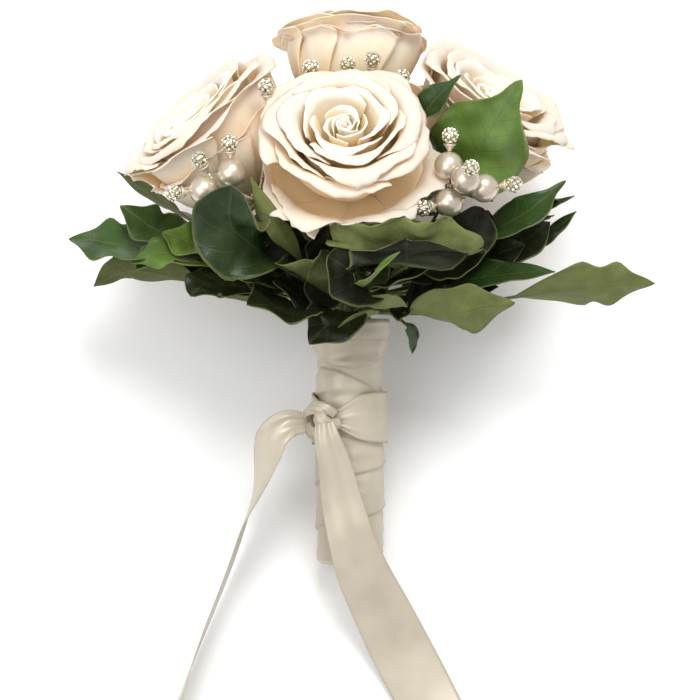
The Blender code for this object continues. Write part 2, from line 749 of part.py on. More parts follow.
def ribbon_tail(name, stations, collection):
    """A loose tail of the ribbon along its middle line."""
    line = []
    for (across, height, up), half, turn in stations:
        depth = (up * math.sin(LEAN) + TABLE_OFFSET / MM - height) / math.cos(LEAN)
        line.append(Vector((across, depth, up)) * MM)
    widths = [Vector((half, turn)) for _, half, turn in stations]

    def surface(across, along):
        here = smooth_through(line, along)
        ahead = smooth_through(line, min(1, along + 0.01)) - smooth_through(line, max(0, along - 0.01))
        half, turn = smooth_through(widths, along)
        way = ahead.normalized()
        face = (TABLE_UP - way * TABLE_UP.dot(way)).normalized()
        side = way.cross(Matrix.Rotation(math.radians(turn), 3, way) @ face)
        return here + side * across * half * MM

    return fused(name, [sheet(name, 2, TAIL_ROWS, surface, RIBBON_THICKNESS, collection)], "satin")


def ribbon_tie(collection):
    """The tied ribbon: a band round the handle, gathered into a knot of loops."""

    def surface(across, along):
        gather = min(1.0, min(along, 1 - along) / GATHER_SPAN)
        half = BAND_HALF_WIDTH * (GATHER_WIDTH + (1 - GATHER_WIDTH) * gather)
        radius = BAND_RADIUS + GATHER_LIFT * (1 - gather)
        return heading(KNOT_TURN + 360 * along, 0) * radius + Vector((0, 0, KNOT_HEIGHT + across * half))

    pieces = [sheet("band", 2, BAND_COLUMNS, surface, BAND_THICKNESS, collection)]
    for tilt, spin, big, small, out, up in KNOT_LOOPS:
        centre = at_neck(KNOT_TURN, KNOT_HEIGHT / MM + up, BAND_RADIUS + out * MM)
        bpy.ops.mesh.primitive_torus_add(
            major_segments=LOOP_SIDES,
            minor_segments=LOOP_ROUNDNESS,
            major_radius=big * MM,
            minor_radius=small * MM,
        )
        loop = bpy.context.object
        turn = Matrix.Rotation(math.radians(KNOT_TURN + spin), 4, "Z") @ Matrix.Rotation(math.radians(tilt), 4, "X")
        loop.data.transform(Matrix.Translation(centre) @ turn)
        pieces.append(loop)
    return fused("ribbon_tie", pieces, "satin")


def pearl_outline():
    """A pearl's section from its top bore edge round the outside and up the bore."""
    open_angle = math.asin(PEARL_BORE / PEARL_RADIUS)
    angles = [open_angle + (math.pi - 2 * open_angle) * k / PEARL_BANDS for k in range(PEARL_BANDS + 1)]
    return [(PEARL_RADIUS * math.sin(a) / MM, PEARL_RADIUS * math.cos(a) / MM) for a in angles]


def crystal_head(name, place, collection):
    """A ball of small stones, each a raised face."""
    work = bmesh.new()
    bmesh.ops.create_icosphere(work, subdivisions=1, radius=HEAD_RADIUS)
    bmesh.ops.poke(work, faces=work.faces, offset=HEAD_SPIKE)
    bmesh.ops.transform(work, matrix=place, verts=work.verts)
    mesh = bpy.data.meshes.new(name)
    work.to_mesh(mesh)
    work.free()
    return finished(mesh_object(name, mesh, collection), name, "crystal")


def spray(name, collection):
    """A spray of picks: wires from the neck, and on each its pearl, cone and head."""
    (turn, height), hub, picks = SPRAYS[name]
    root = at_neck(turn, height, NECK_RADIUS + SEAT_GAP + SPRAY_STEM_RADIUS)
    hub = Vector(hub) * MM
    rising = Vector((0, 0, SPRAY_RISE))
    stem = [bezier(k / SPRAY_STEM_PARTS, root, root + rising, hub - rising, hub) for k in range(SPRAY_STEM_PARTS + 1)]
    wires = [tube(name + "_stem", stem, SPRAY_STEM_RADIUS, 0, collection)]
    cone = [(0, CONE_END), (CONE_RADIUS, CONE_END), (WIRE_RADIUS, CONE_START), (0, CONE_START)]
    for number, (place, aim, has_pearl) in enumerate(picks, 1):
        place, aim = Vector(place) * MM, heading(*aim)
        start = hub - Vector((0, 0, WIRE_SINK))
        bent = place - aim * WIRE_BEND
        lead = bent - aim * WIRE_BEND_LEAD
        route = [bezier(k / WIRE_PARTS, start, start.lerp(bent, 0.4), lead, bent) for k in range(WIRE_PARTS + 1)]
        route.append(place + aim * (CONE_START + CONE_END) / 2)
        wires.append(tube(f"{name}_wire_{number}", route, WIRE_RADIUS, 0, collection))
        outline = [(radius / MM, up / MM) for radius, up in cone]
        wires.append(turned(f"{name}_cone_{number}", outline, CONE_STEPS, facing(place, aim), collection))
        if has_pearl:
            pearl = turned("pearl", pearl_outline(), PEARL_STEPS, facing(place, aim), collection)
            finished(pearl, f"pearl_{name}_{number}", "pearl")
        middle = place + aim * (CONE_END + HEAD_GAP + HEAD_RADIUS)
        crystal_head(f"crystal_{name}_{number}", facing(middle, aim), collection)
    return fused(f"pick_wires_{name}", wires, "wire")


def flattened(item):
    """The item with a small flat where it would sink below the table."""
    name, finish = item.name, item.data.materials[0].name
    bpy.ops.mesh.primitive_cube_add(size=1, location=(0, 0, -0.5))
    return finished(combine(item, [bpy.context.object], "DIFFERENCE", "table"), name, finish)


def lay_down(collection):
    """Lays the bouquet on its back, with the middle of its box over the origin. It
    rests on the handle's foot and on the two far blooms."""
    turn = Matrix.Rotation(LEAN - math.pi / 2, 4, "X") @ Matrix.Translation(TABLE_UP * TABLE_OFFSET)
    for item in collection.objects:
        item.data.transform(turn)
    for name in RESTS_ON:
        flattened(collection.objects[name])
    nodes = list(collection.objects)
    corners = [vert.co for item in nodes for vert in item.data.vertices]
    rest = bpy.data.objects.new("bouquet_rest", None)
    collection.objects.link(rest)
    for item in nodes:
        item.parent = rest
    for axis in range(2):
        rest.location[axis] = -(min(c[axis] for c in corners) + max(c[axis] for c in corners)) / 2


def main():
    clear_scene()
    bouquet = new_collection("bridal_bouquet")
    for name in BLOOMS:
        bloom(name, bouquet)
    stem_bundle(bouquet)
    ribbon_wrap(bouquet)
    ribbon_tie(bouquet)
    ribbon_tail("ribbon_tail_front", FRONT_TAIL, bouquet)
    ribbon_tail("ribbon_tail_side", SIDE_TAIL, bouquet)
    for name in SPRIGS:
        sprig(name, bouquet)
    for name in FAR_LEAVES:
        far_leaf(name, bouquet)
    for name in SPRAYS:
        spray(name, bouquet)
    lay_down(bouquet)


main()
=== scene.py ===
"""The looks of the bridal bouquet: roses, ivy, pearl picks and satin ribbon.

Every piece is worked out upright first, in millimetres: +Z runs up the handle into
the dome and -Y is the side that faces the viewer. Bench.laid carries the finished
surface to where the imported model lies.
"""

import logging
import math
from collections.abc import Iterable, Sequence
from dataclasses import dataclass, field
from enum import Enum

import bpy
import numpy as np
from mathutils import Matrix, Vector


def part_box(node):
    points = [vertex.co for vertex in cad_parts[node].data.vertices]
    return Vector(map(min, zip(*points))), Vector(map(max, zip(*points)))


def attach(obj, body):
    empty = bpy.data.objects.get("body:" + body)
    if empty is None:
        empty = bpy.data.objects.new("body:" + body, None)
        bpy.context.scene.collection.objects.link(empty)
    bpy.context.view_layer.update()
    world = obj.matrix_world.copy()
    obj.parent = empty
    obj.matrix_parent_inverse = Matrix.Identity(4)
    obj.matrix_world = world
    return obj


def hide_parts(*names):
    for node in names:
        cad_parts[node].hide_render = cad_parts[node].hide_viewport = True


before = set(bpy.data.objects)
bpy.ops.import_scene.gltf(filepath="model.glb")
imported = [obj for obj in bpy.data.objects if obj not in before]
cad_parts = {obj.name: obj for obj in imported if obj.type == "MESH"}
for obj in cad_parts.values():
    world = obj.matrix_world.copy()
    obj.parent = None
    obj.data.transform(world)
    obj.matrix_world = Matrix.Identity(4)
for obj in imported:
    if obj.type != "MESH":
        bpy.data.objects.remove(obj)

LOG = logging.getLogger("bouquet")
MM = 0.001
BODY = "root"
ROSE_SEED = 11
HEAD_SEED = 40
Point = tuple[float, float, float]
Wave = tuple[float | np.ndarray, float, float | np.ndarray]
# Directions that no tube or turned solid here runs along, from which its sides are measured.
TURNED_HINT = (0.31, 0.77, 0.55)
TUBE_HINT = (0.23, 0.41, 0.88)


# Arrays and curves


def heading(turn: float, rise: float) -> np.ndarray:
    """A unit vector so many degrees round from the viewer's side and up from level.

    Args:
        turn: degrees round the handle, positive to the right.
        rise: degrees up from level.

    Returns:
        The unit vector.
    """
    t, r = math.radians(turn), math.radians(rise)
    return np.array([math.sin(t) * math.cos(r), -math.cos(t) * math.cos(r), math.sin(r)])


def unit(vectors: np.ndarray) -> np.ndarray:
    """The vectors along the last axis, at length one."""
    return vectors / np.maximum(np.linalg.norm(vectors, axis=-1, keepdims=True), 1e-9)


def dot(a: np.ndarray, b: np.ndarray) -> np.ndarray:
    """The products of the vectors along the last axis, which is kept."""
    return np.sum(a * b, axis=-1, keepdims=True)


def ease(start: float, end: float, values: np.ndarray) -> np.ndarray:
    """A smooth step: 0 before start, 1 after end, 3t^2 - 2t^3 between."""
    t = np.clip((values - start) / (end - start), 0, 1)
    return t * t * (3 - 2 * t)


def hump(middle: float, spread: float, values: np.ndarray) -> np.ndarray:
    """A bell of height one round the middle: exp(-((x - middle) / spread)^2)."""
    return np.exp(-(((values - middle) / spread) ** 2))


def waves(values: np.ndarray, *rows: Wave) -> np.ndarray:
    """Sines added up: height * sin(pace * values + shift) for each row.

    Args:
        values: where along the waves.
        rows: the height, pace and shift of each wave.

    Returns:
        The sum at each value.
    """
    return sum(height * np.sin(pace * values + shift) for height, pace, shift in rows)


def bezier(share: np.ndarray, a: np.ndarray, b: np.ndarray, c: np.ndarray, d: np.ndarray) -> np.ndarray:
    """Points on the cubic Bezier curve of four control points.

    Args:
        share: how far along, 0 to 1, of any shape.
        a: the start.
        b: the first handle.
        c: the second handle.
        d: the end.

    Returns:
        An array of share's shape with the points on a last axis.
    """
    t = np.asarray(share, float)[..., None]
    left = 1 - t
    return a * left**3 + 3 * b * t * left**2 + 3 * c * t**2 * left + d * t**3


def through(stations: np.ndarray, share: np.ndarray) -> np.ndarray:
    """Points on the Catmull-Rom curve through equally spaced stations.

    Args:
        stations: one row for each station.
        share: how far along, 0 to 1.

    Returns:
        One row for each share.
    """
    stations = np.asarray(stations, float)
    last = len(stations) - 1
    place = np.clip(np.asarray(share, float), 0, 1) * last
    number = np.minimum(place.astype(int), last - 1)
    t = (place - number)[..., None]
    a, b, c, d = (stations[np.clip(number + k, 0, last)] for k in (-1, 0, 1, 2))
    bend = (2 * a - 5 * b + 4 * c - d) * t**2 + (3 * b - a - 3 * c + d) * t**3
    return b + ((c - a) * t + bend) / 2


def pressed(
    points: np.ndarray, spot: np.ndarray, away: np.ndarray, keep: float, margin: float
) -> np.ndarray:
    """Points pushed back smoothly, so that they never pass a plane.

    Args:
        points: the points, on the last axis.
        spot: a point on the plane.
        away: the plane's unit normal, on the side to stay out of.
        keep: how far from the plane a point stays at least.
        margin: how far from the plane it starts to yield.

    Returns:
        The points; depth past the margin becomes room * (1 - exp(-depth / room)).
    """
    depth = dot(points - spot, away) + margin
    room = margin - keep
    moved = room * (1 - np.exp(-np.maximum(depth, 0) / room)) - np.maximum(depth, 0)
    return points + away * moved


def across_along(columns: int, rows: int) -> tuple[np.ndarray, np.ndarray]:
    """Two grids, -1 to 1 across and 0 to 1 along, of rows by columns points."""
    return np.meshgrid(np.linspace(-1, 1, columns), np.linspace(0, 1, rows))


def frames_along(line: np.ndarray, up: np.ndarray) -> tuple[np.ndarray, np.ndarray, np.ndarray]:
    """The way, side and face directions at each point of a line.

    Args:
        line: one point a row.
        up: where the face should look, one vector or one a row.

    Returns:
        The way along the line, the side and the face, each at length one.
    """
    way = unit(np.gradient(line, axis=0))
    face = unit(up - way * dot(up, way))
    return way, np.cross(way, face), face


def gone(line: np.ndarray) -> np.ndarray:
    """How far along a line of points each of them is."""
    return np.concatenate([[0], np.cumsum(np.linalg.norm(np.diff(line, axis=0), axis=1))])


def circle(side: np.ndarray, third: np.ndarray, sides: int) -> np.ndarray:
    """Directions round a circle: cos(a) * side + sin(a) * third, the angle a falling.

    Args:
        side: the first direction, or one a row.
        third: the direction square to it, or one a row.
        sides: how many directions.

    Returns:
        The directions, on a new axis before the last.
    """
    angle = -np.linspace(0, 2 * np.pi, sides, endpoint=False)[:, None]
    return np.cos(angle) * side[..., None, :] + np.sin(angle) * third[..., None, :]


def round_handle(angle: np.ndarray, radius: np.ndarray, height: np.ndarray) -> np.ndarray:
    """Points round the handle.

    Args:
        angle: how far round from the viewer's side, positive to the right.
        radius: how far out.
        height: how far up.

    Returns:
        The points, on a new last axis.
    """
    return np.stack([np.sin(angle) * radius, -np.cos(angle) * radius, height], axis=-1)


def turned_rings(outline: np.ndarray, sides: int, place: np.ndarray, way: np.ndarray) -> np.ndarray:
    """The rings of a solid of revolution.

    Args:
        outline: rows of radius and height.
        sides: how many points go round.
        place: where the outline's height 0 goes.
        way: the way that its axis points.

    Returns:
        Rings by points by 3.
    """
    side = unit(np.cross(way, TURNED_HINT))
    round_it = circle(side, np.cross(way, side), sides)
    return place + outline[:, :1, None] * round_it + outline[:, 1:, None] * way


# How the bouquet lies


@dataclass(frozen=True)
class Bench:
    """How the upright bouquet is laid on its back, in millimetres and radians."""

    lean: float = math.radians(19)
    foot_rise: float = 1.6
    foot_radius: float = 14.1
    foot_sink: float = 0.3
    view_height: float = 91.6
    view_distance: float = 1100.0
    view_width: float = 301.0
    # A pearl's own place, upright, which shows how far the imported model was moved.
    mark_node: str = "pearl_right_1"
    mark_place: Point = (40.5, -52.0, 167.0)

    @property
    def up(self) -> np.ndarray:
        """The way up from the table, seen from the upright bouquet."""
        return np.array([0, -math.cos(self.lean), math.sin(self.lean)])

    @property
    def offset(self) -> float:
        """How far the upright bouquet's origin lies over the table."""
        resting = self.foot_radius * math.cos(self.lean) - self.foot_rise * math.sin(self.lean)
        return resting - self.foot_sink

    def turned(self, points: np.ndarray) -> np.ndarray:
        """Upright points in millimetres, tipped onto the table, in metres."""
        tip = np.array(Matrix.Rotation(self.lean - math.pi / 2, 3, "X"))
        return (np.asarray(points, float) + self.up * self.offset) @ tip.T * MM

    def shift(self) -> np.ndarray:
        """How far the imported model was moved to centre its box.

        Returns:
            The move over the table, in metres.
        """
        low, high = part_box(self.mark_node)
        middle = (np.array(low) + np.array(high)) / 2 - self.turned(np.array(self.mark_place))
        return np.array([middle[0], middle[1], 0.0])

    def laid(self, points: np.ndarray) -> np.ndarray:
        """Upright points in millimetres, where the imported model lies, in metres."""
        return self.turned(points) + self.shift()

    def off_table(self, points: np.ndarray, keep: float, margin: float) -> np.ndarray:
        """Upright points, pressed so that they stay over the table: see pressed."""
        return pressed(points, -self.up * self.offset, -self.up, keep, margin)

    def depth(self, up: np.ndarray, height: np.ndarray) -> np.ndarray:
        """The depth of upright points, from their place up the bouquet and height over the table."""
        return (up * math.sin(self.lean) + self.offset - height) / math.cos(self.lean)


BENCH = Bench()


# Building a piece's mesh


class Shell:
    """The surfaces of one piece, gathered as arrays before its mesh is made."""

    def __init__(self) -> None:
        """Starts with nothing in it."""
        self.points: list[np.ndarray] = []
        self.faces: list[np.ndarray] = []
        self.marks: dict[str, list[np.ndarray]] = {}
        self.count = 0

    def add(self, points: np.ndarray, faces: Sequence[np.ndarray], **marks: np.ndarray | float) -> None:
        """Adds a closed body.

        Args:
            points: one point a row, upright, in millimetres.
            faces: arrays of corner numbers, one face a row.
            marks: values at the points that the finish reads, an array or one number.
        """
        for name, values in marks.items():
            column = self.marks.setdefault(name, [np.zeros(self.count)])
            column.append(np.broadcast_to(np.asarray(values, float).ravel(), (len(points),)))
        for name in set(self.marks) - set(marks):
            self.marks[name].append(np.zeros(len(points)))
        self.points.append(points)
        self.faces.extend(face + self.count for face in faces)
        self.count += len(points)

    def add_sheet(
        self, middle: np.ndarray, thickness: np.ndarray | float, **marks: np.ndarray | float
    ) -> None:
        """Adds a thin closed solid over a grid of points.

        Args:
            middle: the middle surface, rows by columns by 3. Its front is on the side of
                the way across crossed with the way along.
            thickness: a number, or one for each point.
            marks: values at the grid's points. The mark named under is 0 in front and 1 behind.
        """
        rows, columns = middle.shape[:2]
        normal = unit(np.cross(np.gradient(middle, axis=1), np.gradient(middle, axis=0)))
        half = normal * np.broadcast_to(np.asarray(thickness, float), (rows, columns))[..., None] / 2
        points = np.concatenate([(middle + half).reshape(-1, 3), (middle - half).reshape(-1, 3)])
        number = np.arange(rows * columns).reshape(rows, columns)
        corners = (number[:-1, :-1], number[:-1, 1:], number[1:, 1:], number[1:, :-1])
        front = np.stack(corners, axis=-1).reshape(-1, 4)
        rim = np.concatenate([number[0, :-1], number[:-1, -1], number[-1, :0:-1], number[:0:-1, 0]])
        after = np.roll(rim, -1)
        side = np.stack([after, rim, rim + rows * columns, after + rows * columns], axis=-1)
        doubled = {"under": np.repeat([0.0, 1.0], rows * columns)}
        for name, value in marks.items():
            doubled[name] = np.tile(np.broadcast_to(value, (rows, columns)).ravel(), 2)
        self.add(points, [front, front[:, ::-1] + rows * columns, side], **doubled)

    def add_tube(self, rings: np.ndarray, **marks: np.ndarray | float) -> None:
        """Adds a closed tube over rings of points, with a fan over each end.

        Args:
            rings: rings by points by 3, each ring clockwise as seen from the tube's end.
            marks: values at the ring's points.
        """
        count, sides = rings.shape[:2]
        ends = np.stack([rings[0].mean(axis=0), rings[-1].mean(axis=0)])
        points = np.concatenate([rings.reshape(-1, 3), ends])
        number = np.arange(count * sides).reshape(count, sides)
        after = np.roll(number, -1, axis=1)
        wall = np.stack([number[:-1], number[1:], after[1:], after[:-1]], axis=-1).reshape(-1, 4)
        first = np.stack([number[0], after[0], np.full(sides, count * sides)], axis=-1)
        last = np.stack([after[-1], number[-1], np.full(sides, count * sides + 1)], axis=-1)
        full = {}
        for name, value in marks.items():
            values = np.broadcast_to(value, (count, sides))
            full[name] = np.concatenate([values.ravel(), [values[0].mean(), values[-1].mean()]])
        self.add(points, [wall, first, last], **full)

    def add_pipe(
        self, line: np.ndarray, radius: float, sides: int, **marks: np.ndarray | float
    ) -> None:
        """Adds a round tube along a line.

        Args:
            line: its middle line, one point a row.
            radius: its radius.
            sides: how many faces go round.
            marks: values for each ring, as a column, or for the whole body.
        """
        _, side, face = frames_along(line, np.array(TUBE_HINT))
        self.add_tube(line[:, None] + circle(side, face, sides) * radius, **marks)

    def add_turned(
        self, outline: np.ndarray, sides: int, place: np.ndarray, way: np.ndarray, **marks: float
    ) -> None:
        """Adds a solid of revolution.

        Args:
            outline: rows of radius and height, from the bottom up.
            sides: how many faces go round.
            place: where the outline's height 0 goes.
            way: the way that its axis points.
            marks: values for the whole body.
        """
        self.add_tube(turned_rings(outline, sides, place, way), **marks)

    def add_ring(self, rings: np.ndarray) -> None:
        """Adds a closed ring-shaped body, whose last ring joins the first.

        Args:
            rings: rings by points by 3, round the body's bore.
        """
        count, sides = rings.shape[:2]
        number = np.arange(count * sides).reshape(count, sides)
        after, over = np.roll(number, -1, axis=1), np.roll(number, -1, axis=0)
        wall = np.stack([number, over, np.roll(over, -1, axis=1), after], axis=-1).reshape(-1, 4)
        self.add(rings.reshape(-1, 3), [wall])

    def piece(
        self, name: str, finish: bpy.types.Material, nodes: Iterable[str]
    ) -> bpy.types.Object:
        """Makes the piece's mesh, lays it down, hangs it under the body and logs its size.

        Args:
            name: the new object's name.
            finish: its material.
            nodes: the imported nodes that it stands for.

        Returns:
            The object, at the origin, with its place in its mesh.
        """
        mesh = bpy.data.meshes.new(name)
        points = BENCH.laid(np.concatenate(self.points))
        corners = np.concatenate([face.ravel() for face in self.faces])
        totals = np.concatenate([np.full(len(face), face.shape[1]) for face in self.faces])
        mesh.vertices.add(len(points))
        mesh.vertices.foreach_set("co", points.astype(np.float32).ravel())
        mesh.loops.add(len(corners))
        mesh.loops.foreach_set("vertex_index", corners.astype(np.int32))
        mesh.polygons.add(len(totals))
        mesh.polygons.foreach_set("loop_start", (np.cumsum(totals) - totals).astype(np.int32))
        mesh.update(calc_edges=True)
        mesh.validate()
        for mark, values in self.marks.items():
            layer = mesh.attributes.new(mark, "FLOAT", "POINT")
            layer.data.foreach_set("value", np.concatenate(values).astype(np.float32))
        mesh.shade_smooth()
        made = bpy.data.objects.new(name, mesh)
        bpy.context.scene.collection.objects.link(made)
        made.data.materials.append(finish)
        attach(made, BODY)
        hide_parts(*nodes)
        LOG.info("%s: %d points, %d faces", name, len(points), len(totals))
        return made


# Shader maths


class Tap:
    """A number, vector or colour in a material, with Python's operators on numbers."""

    def __init__(self, paint: "Paint", socket: bpy.types.NodeSocket) -> None:
        """Wraps the socket of a node in the material that paint builds."""
        self.paint = paint
        self.socket = socket

    def _math(self, operation: str, first: "Tap | float", second: "Tap | float") -> "Tap":
        """A Math node's result on two values."""
        return self.paint.node("ShaderNodeMath", {"operation": operation}, {0: first, 1: second})

    def __add__(self, other: "Tap | float") -> "Tap":
        """self + other."""
        return self._math("ADD", self, other)

    def __radd__(self, other: float) -> "Tap":
        """other + self."""
        return self._math("ADD", other, self)

    def __sub__(self, other: "Tap | float") -> "Tap":
        """self - other."""
        return self._math("SUBTRACT", self, other)

    def __rsub__(self, other: float) -> "Tap":
        """other - self."""
        return self._math("SUBTRACT", other, self)

    def __mul__(self, other: "Tap | float") -> "Tap":
        """self * other."""
        return self._math("MULTIPLY", self, other)

    def __rmul__(self, other: float) -> "Tap":
        """other * self."""
        return self._math("MULTIPLY", other, self)

    def __truediv__(self, other: "Tap | float") -> "Tap":
        """self / other."""
        return self._math("DIVIDE", self, other)

    def __rtruediv__(self, other: float) -> "Tap":
        """other / self."""
        return self._math("DIVIDE", other, self)

    def __abs__(self) -> "Tap":
        """The size of self without its sign."""
        return self._math("ABSOLUTE", self, 0.0)

    def part(self) -> "Tap":
        """What is left of self over the whole number below it."""
        return self._math("FRACT", self, 0.0)

    def wave(self) -> "Tap":
        """The sine of self."""
        return self._math("SINE", self, 0.0)

    def ease(self, start: float, end: float, low: float = 0.0, high: float = 1.0) -> "Tap":
        """A smooth step.

        Args:
            start: where it starts.
            end: where it ends.
            low: its result before the start.
            high: its result after the end.

        Returns:
            The result.
        """
        settings = {"interpolation_type": "SMOOTHSTEP"}
        values = {"Value": self, "From Min": start, "From Max": end, "To Min": low, "To Max": high}
        return self.paint.node("ShaderNodeMapRange", settings, values)


class Paint:
    """One material under construction."""

    def __init__(self, name: str) -> None:
        """Starts a material with a Principled shader."""
        self.material = bpy.data.materials.new(name)
        self.material.use_nodes = True
        self.tree = self.material.node_tree
        self.shader = self.tree.nodes["Principled BSDF"]

    def node(self, kind: str, settings: dict, values: dict, output: int | str = 0) -> Tap:
        """Adds a node.

        Args:
            kind: the node's type name.
            settings: its properties, which are set first.
            values: numbers, tuples or taps for its inputs, by name or number.
            output: which of its outputs is wanted.

        Returns:
            The output.
        """
        made = self.tree.nodes.new(kind)
        for name, value in settings.items():
            setattr(made, name, value)
        for name, value in values.items():
            if isinstance(value, Tap):
                self.tree.links.new(value.socket, made.inputs[name])
            else:
                made.inputs[name].default_value = value
        return Tap(self, made.outputs[output])

    def mark(self, name: str) -> Tap:
        """A value that the mesh carries at its points."""
        return self.node("ShaderNodeAttribute", {"attribute_name": name}, {}, "Fac")

    def place(self) -> Tap:
        """The point's own coordinates, in metres."""
        return self.node("ShaderNodeTexCoord", {}, {}, "Object")

    def vector(self, x: Tap | float, y: Tap | float, z: Tap | float) -> Tap:
        """A vector of three numbers."""
        return self.node("ShaderNodeCombineXYZ", {}, {"X": x, "Y": y, "Z": z})

    def noise(self, where: Tap, scale: float, detail: float = 2.0, roughness: float = 0.5) -> Tap:
        """Soft noise round a half."""
        values = {"Vector": where, "Scale": scale, "Detail": detail, "Roughness": roughness}
        return self.node("ShaderNodeTexNoise", {}, values)

    def cells(self, where: Tap, scale: float) -> Tap:
        """How far the point is from the nearest edge of a net of cells."""
        settings = {"feature": "DISTANCE_TO_EDGE"}
        return self.node("ShaderNodeTexVoronoi", settings, {"Vector": where, "Scale": scale})

    def mix(self, share: Tap | float, first: Tap | Point, second: Tap | Point) -> Tap:
        """A colour between two colours.

        Args:
            share: 0 for the first, 1 for the second.
            first: one colour.
            second: the other colour.

        Returns:
            The mixed colour.
        """
        pair = [value if isinstance(value, Tap) else (*value, 1.0) for value in (first, second)]
        values = {0: share, 6: pair[0], 7: pair[1]}
        return self.node("ShaderNodeMix", {"data_type": "RGBA"}, values, 2)

    def tint(self, colour: Tap, amount: Tap | float) -> Tap:
        """A colour made lighter or darker by a factor."""
        grey = self.vector(amount, amount, amount)
        return self.node("ShaderNodeVectorMath", {"operation": "MULTIPLY"}, {0: colour, 1: grey})

    def bump(self, height: Tap, distance: float) -> Tap:
        """A normal raised by a height field, so many metres deep."""
        return self.node("ShaderNodeBump", {}, {"Height": height, "Distance": distance, "Strength": 1.0})

    def set(self, **values: Tap | float | Point) -> None:
        """Sets or links inputs of the Principled shader.

        Args:
            values: the inputs by name, in small letters and with _ for spaces.
        """
        for name, value in values.items():
            entry = self.shader.inputs[name.replace("_", " ").title().replace("Ior", "IOR")]
            if isinstance(value, Tap):
                self.tree.links.new(value.socket, entry)
            elif isinstance(value, tuple) and entry.type == "RGBA":
                entry.default_value = (*value, 1.0)
            else:
                entry.default_value = value


# Finishes


@dataclass(frozen=True)
class PetalFinish:
    """Cream rose petals: apricot deep in the bloom, partly their own warm base and partly a painted glow
    of light in the crevices, near white at the rim; painted lighter in the heart and darker on the outer
    rims, as light and shade besides age.
    """

    # Painted glow: the deep colour is partly the petals' own warm base and partly warm light painted into
    # the crevices.
    deep: Point = (1.0, 0.74, 0.45)
    wall: Point = (0.98, 0.765, 0.565)
    # Painted shade, besides age: the outer rims are darker where they face away from the light.
    rim: Point = (0.87, 0.705, 0.55)
    # Painted light: the heart's colours are lighter, against the shade deep in the bloom.
    heart_deep: Point = (1.0, 0.79, 0.40)
    heart_wall: Point = (1.0, 0.87, 0.61)
    heart_rim: Point = (1.0, 0.93, 0.82)
    worn: Point = (0.66, 0.42, 0.22)

    def material(self) -> bpy.types.Material:
        """Builds the material.

        Returns:
            The material, which reads the marks reach, off, run and seed, and the ring mark, 0 at the
            heart; the ring mark carries age and also painted light in the heart and painted shade on the
            outer rims.
        """
        paint = Paint("rose_petal")
        reach, off, run = paint.mark("reach"), paint.mark("off"), paint.mark("run")
        seed, age = paint.mark("seed"), paint.mark("age")
        lines = paint.noise(paint.vector(off * 1.1, run * 0.07, seed), 1.0, 4.0, 0.65)
        clouds = paint.noise(paint.place(), 70.0, 2.0)
        # From the heart out: painted light on the heart's petals, painted shade and age on the outer
        # ones.
        opened_and_painted_shade = age.ease(0.1, 0.85)
        deep = paint.mix(opened_and_painted_shade, self.heart_deep, self.deep)
        wall = paint.mix(opened_and_painted_shade, self.heart_wall, self.wall)
        # Painted glow: low on the petal, down in the crevices, the colour turns to the warm deep colour.
        warm = paint.mix((reach + clouds * 0.24 - 0.12).ease(0.30, 0.85), deep, wall)
        rim = paint.mix(opened_and_painted_shade, self.heart_rim, self.rim)
        colour = paint.mix((reach + clouds * 0.24 - 0.12).ease(0.66, 1.0), warm, rim)
        edge = (reach + lines * 0.06).ease(1.0, 1.035) * clouds.ease(0.52, 0.72)
        colour = paint.mix(edge * 0.6, colour, self.worn)
        colour = paint.tint(colour, lines * 0.05 + 0.975)
        crinkle = paint.noise(paint.place(), 330.0, 3.0, 0.6)
        height = lines * 0.45 + crinkle * 0.40
        paint.set(base_color=colour, roughness=crinkle * 0.16 + 0.50, normal=paint.bump(height, 0.00030))
        paint.set(subsurface_weight=0.45, subsurface_scale=0.005, subsurface_radius=(1.0, 0.6, 0.3))
        paint.set(specular_ior_level=0.12)
        return paint.material


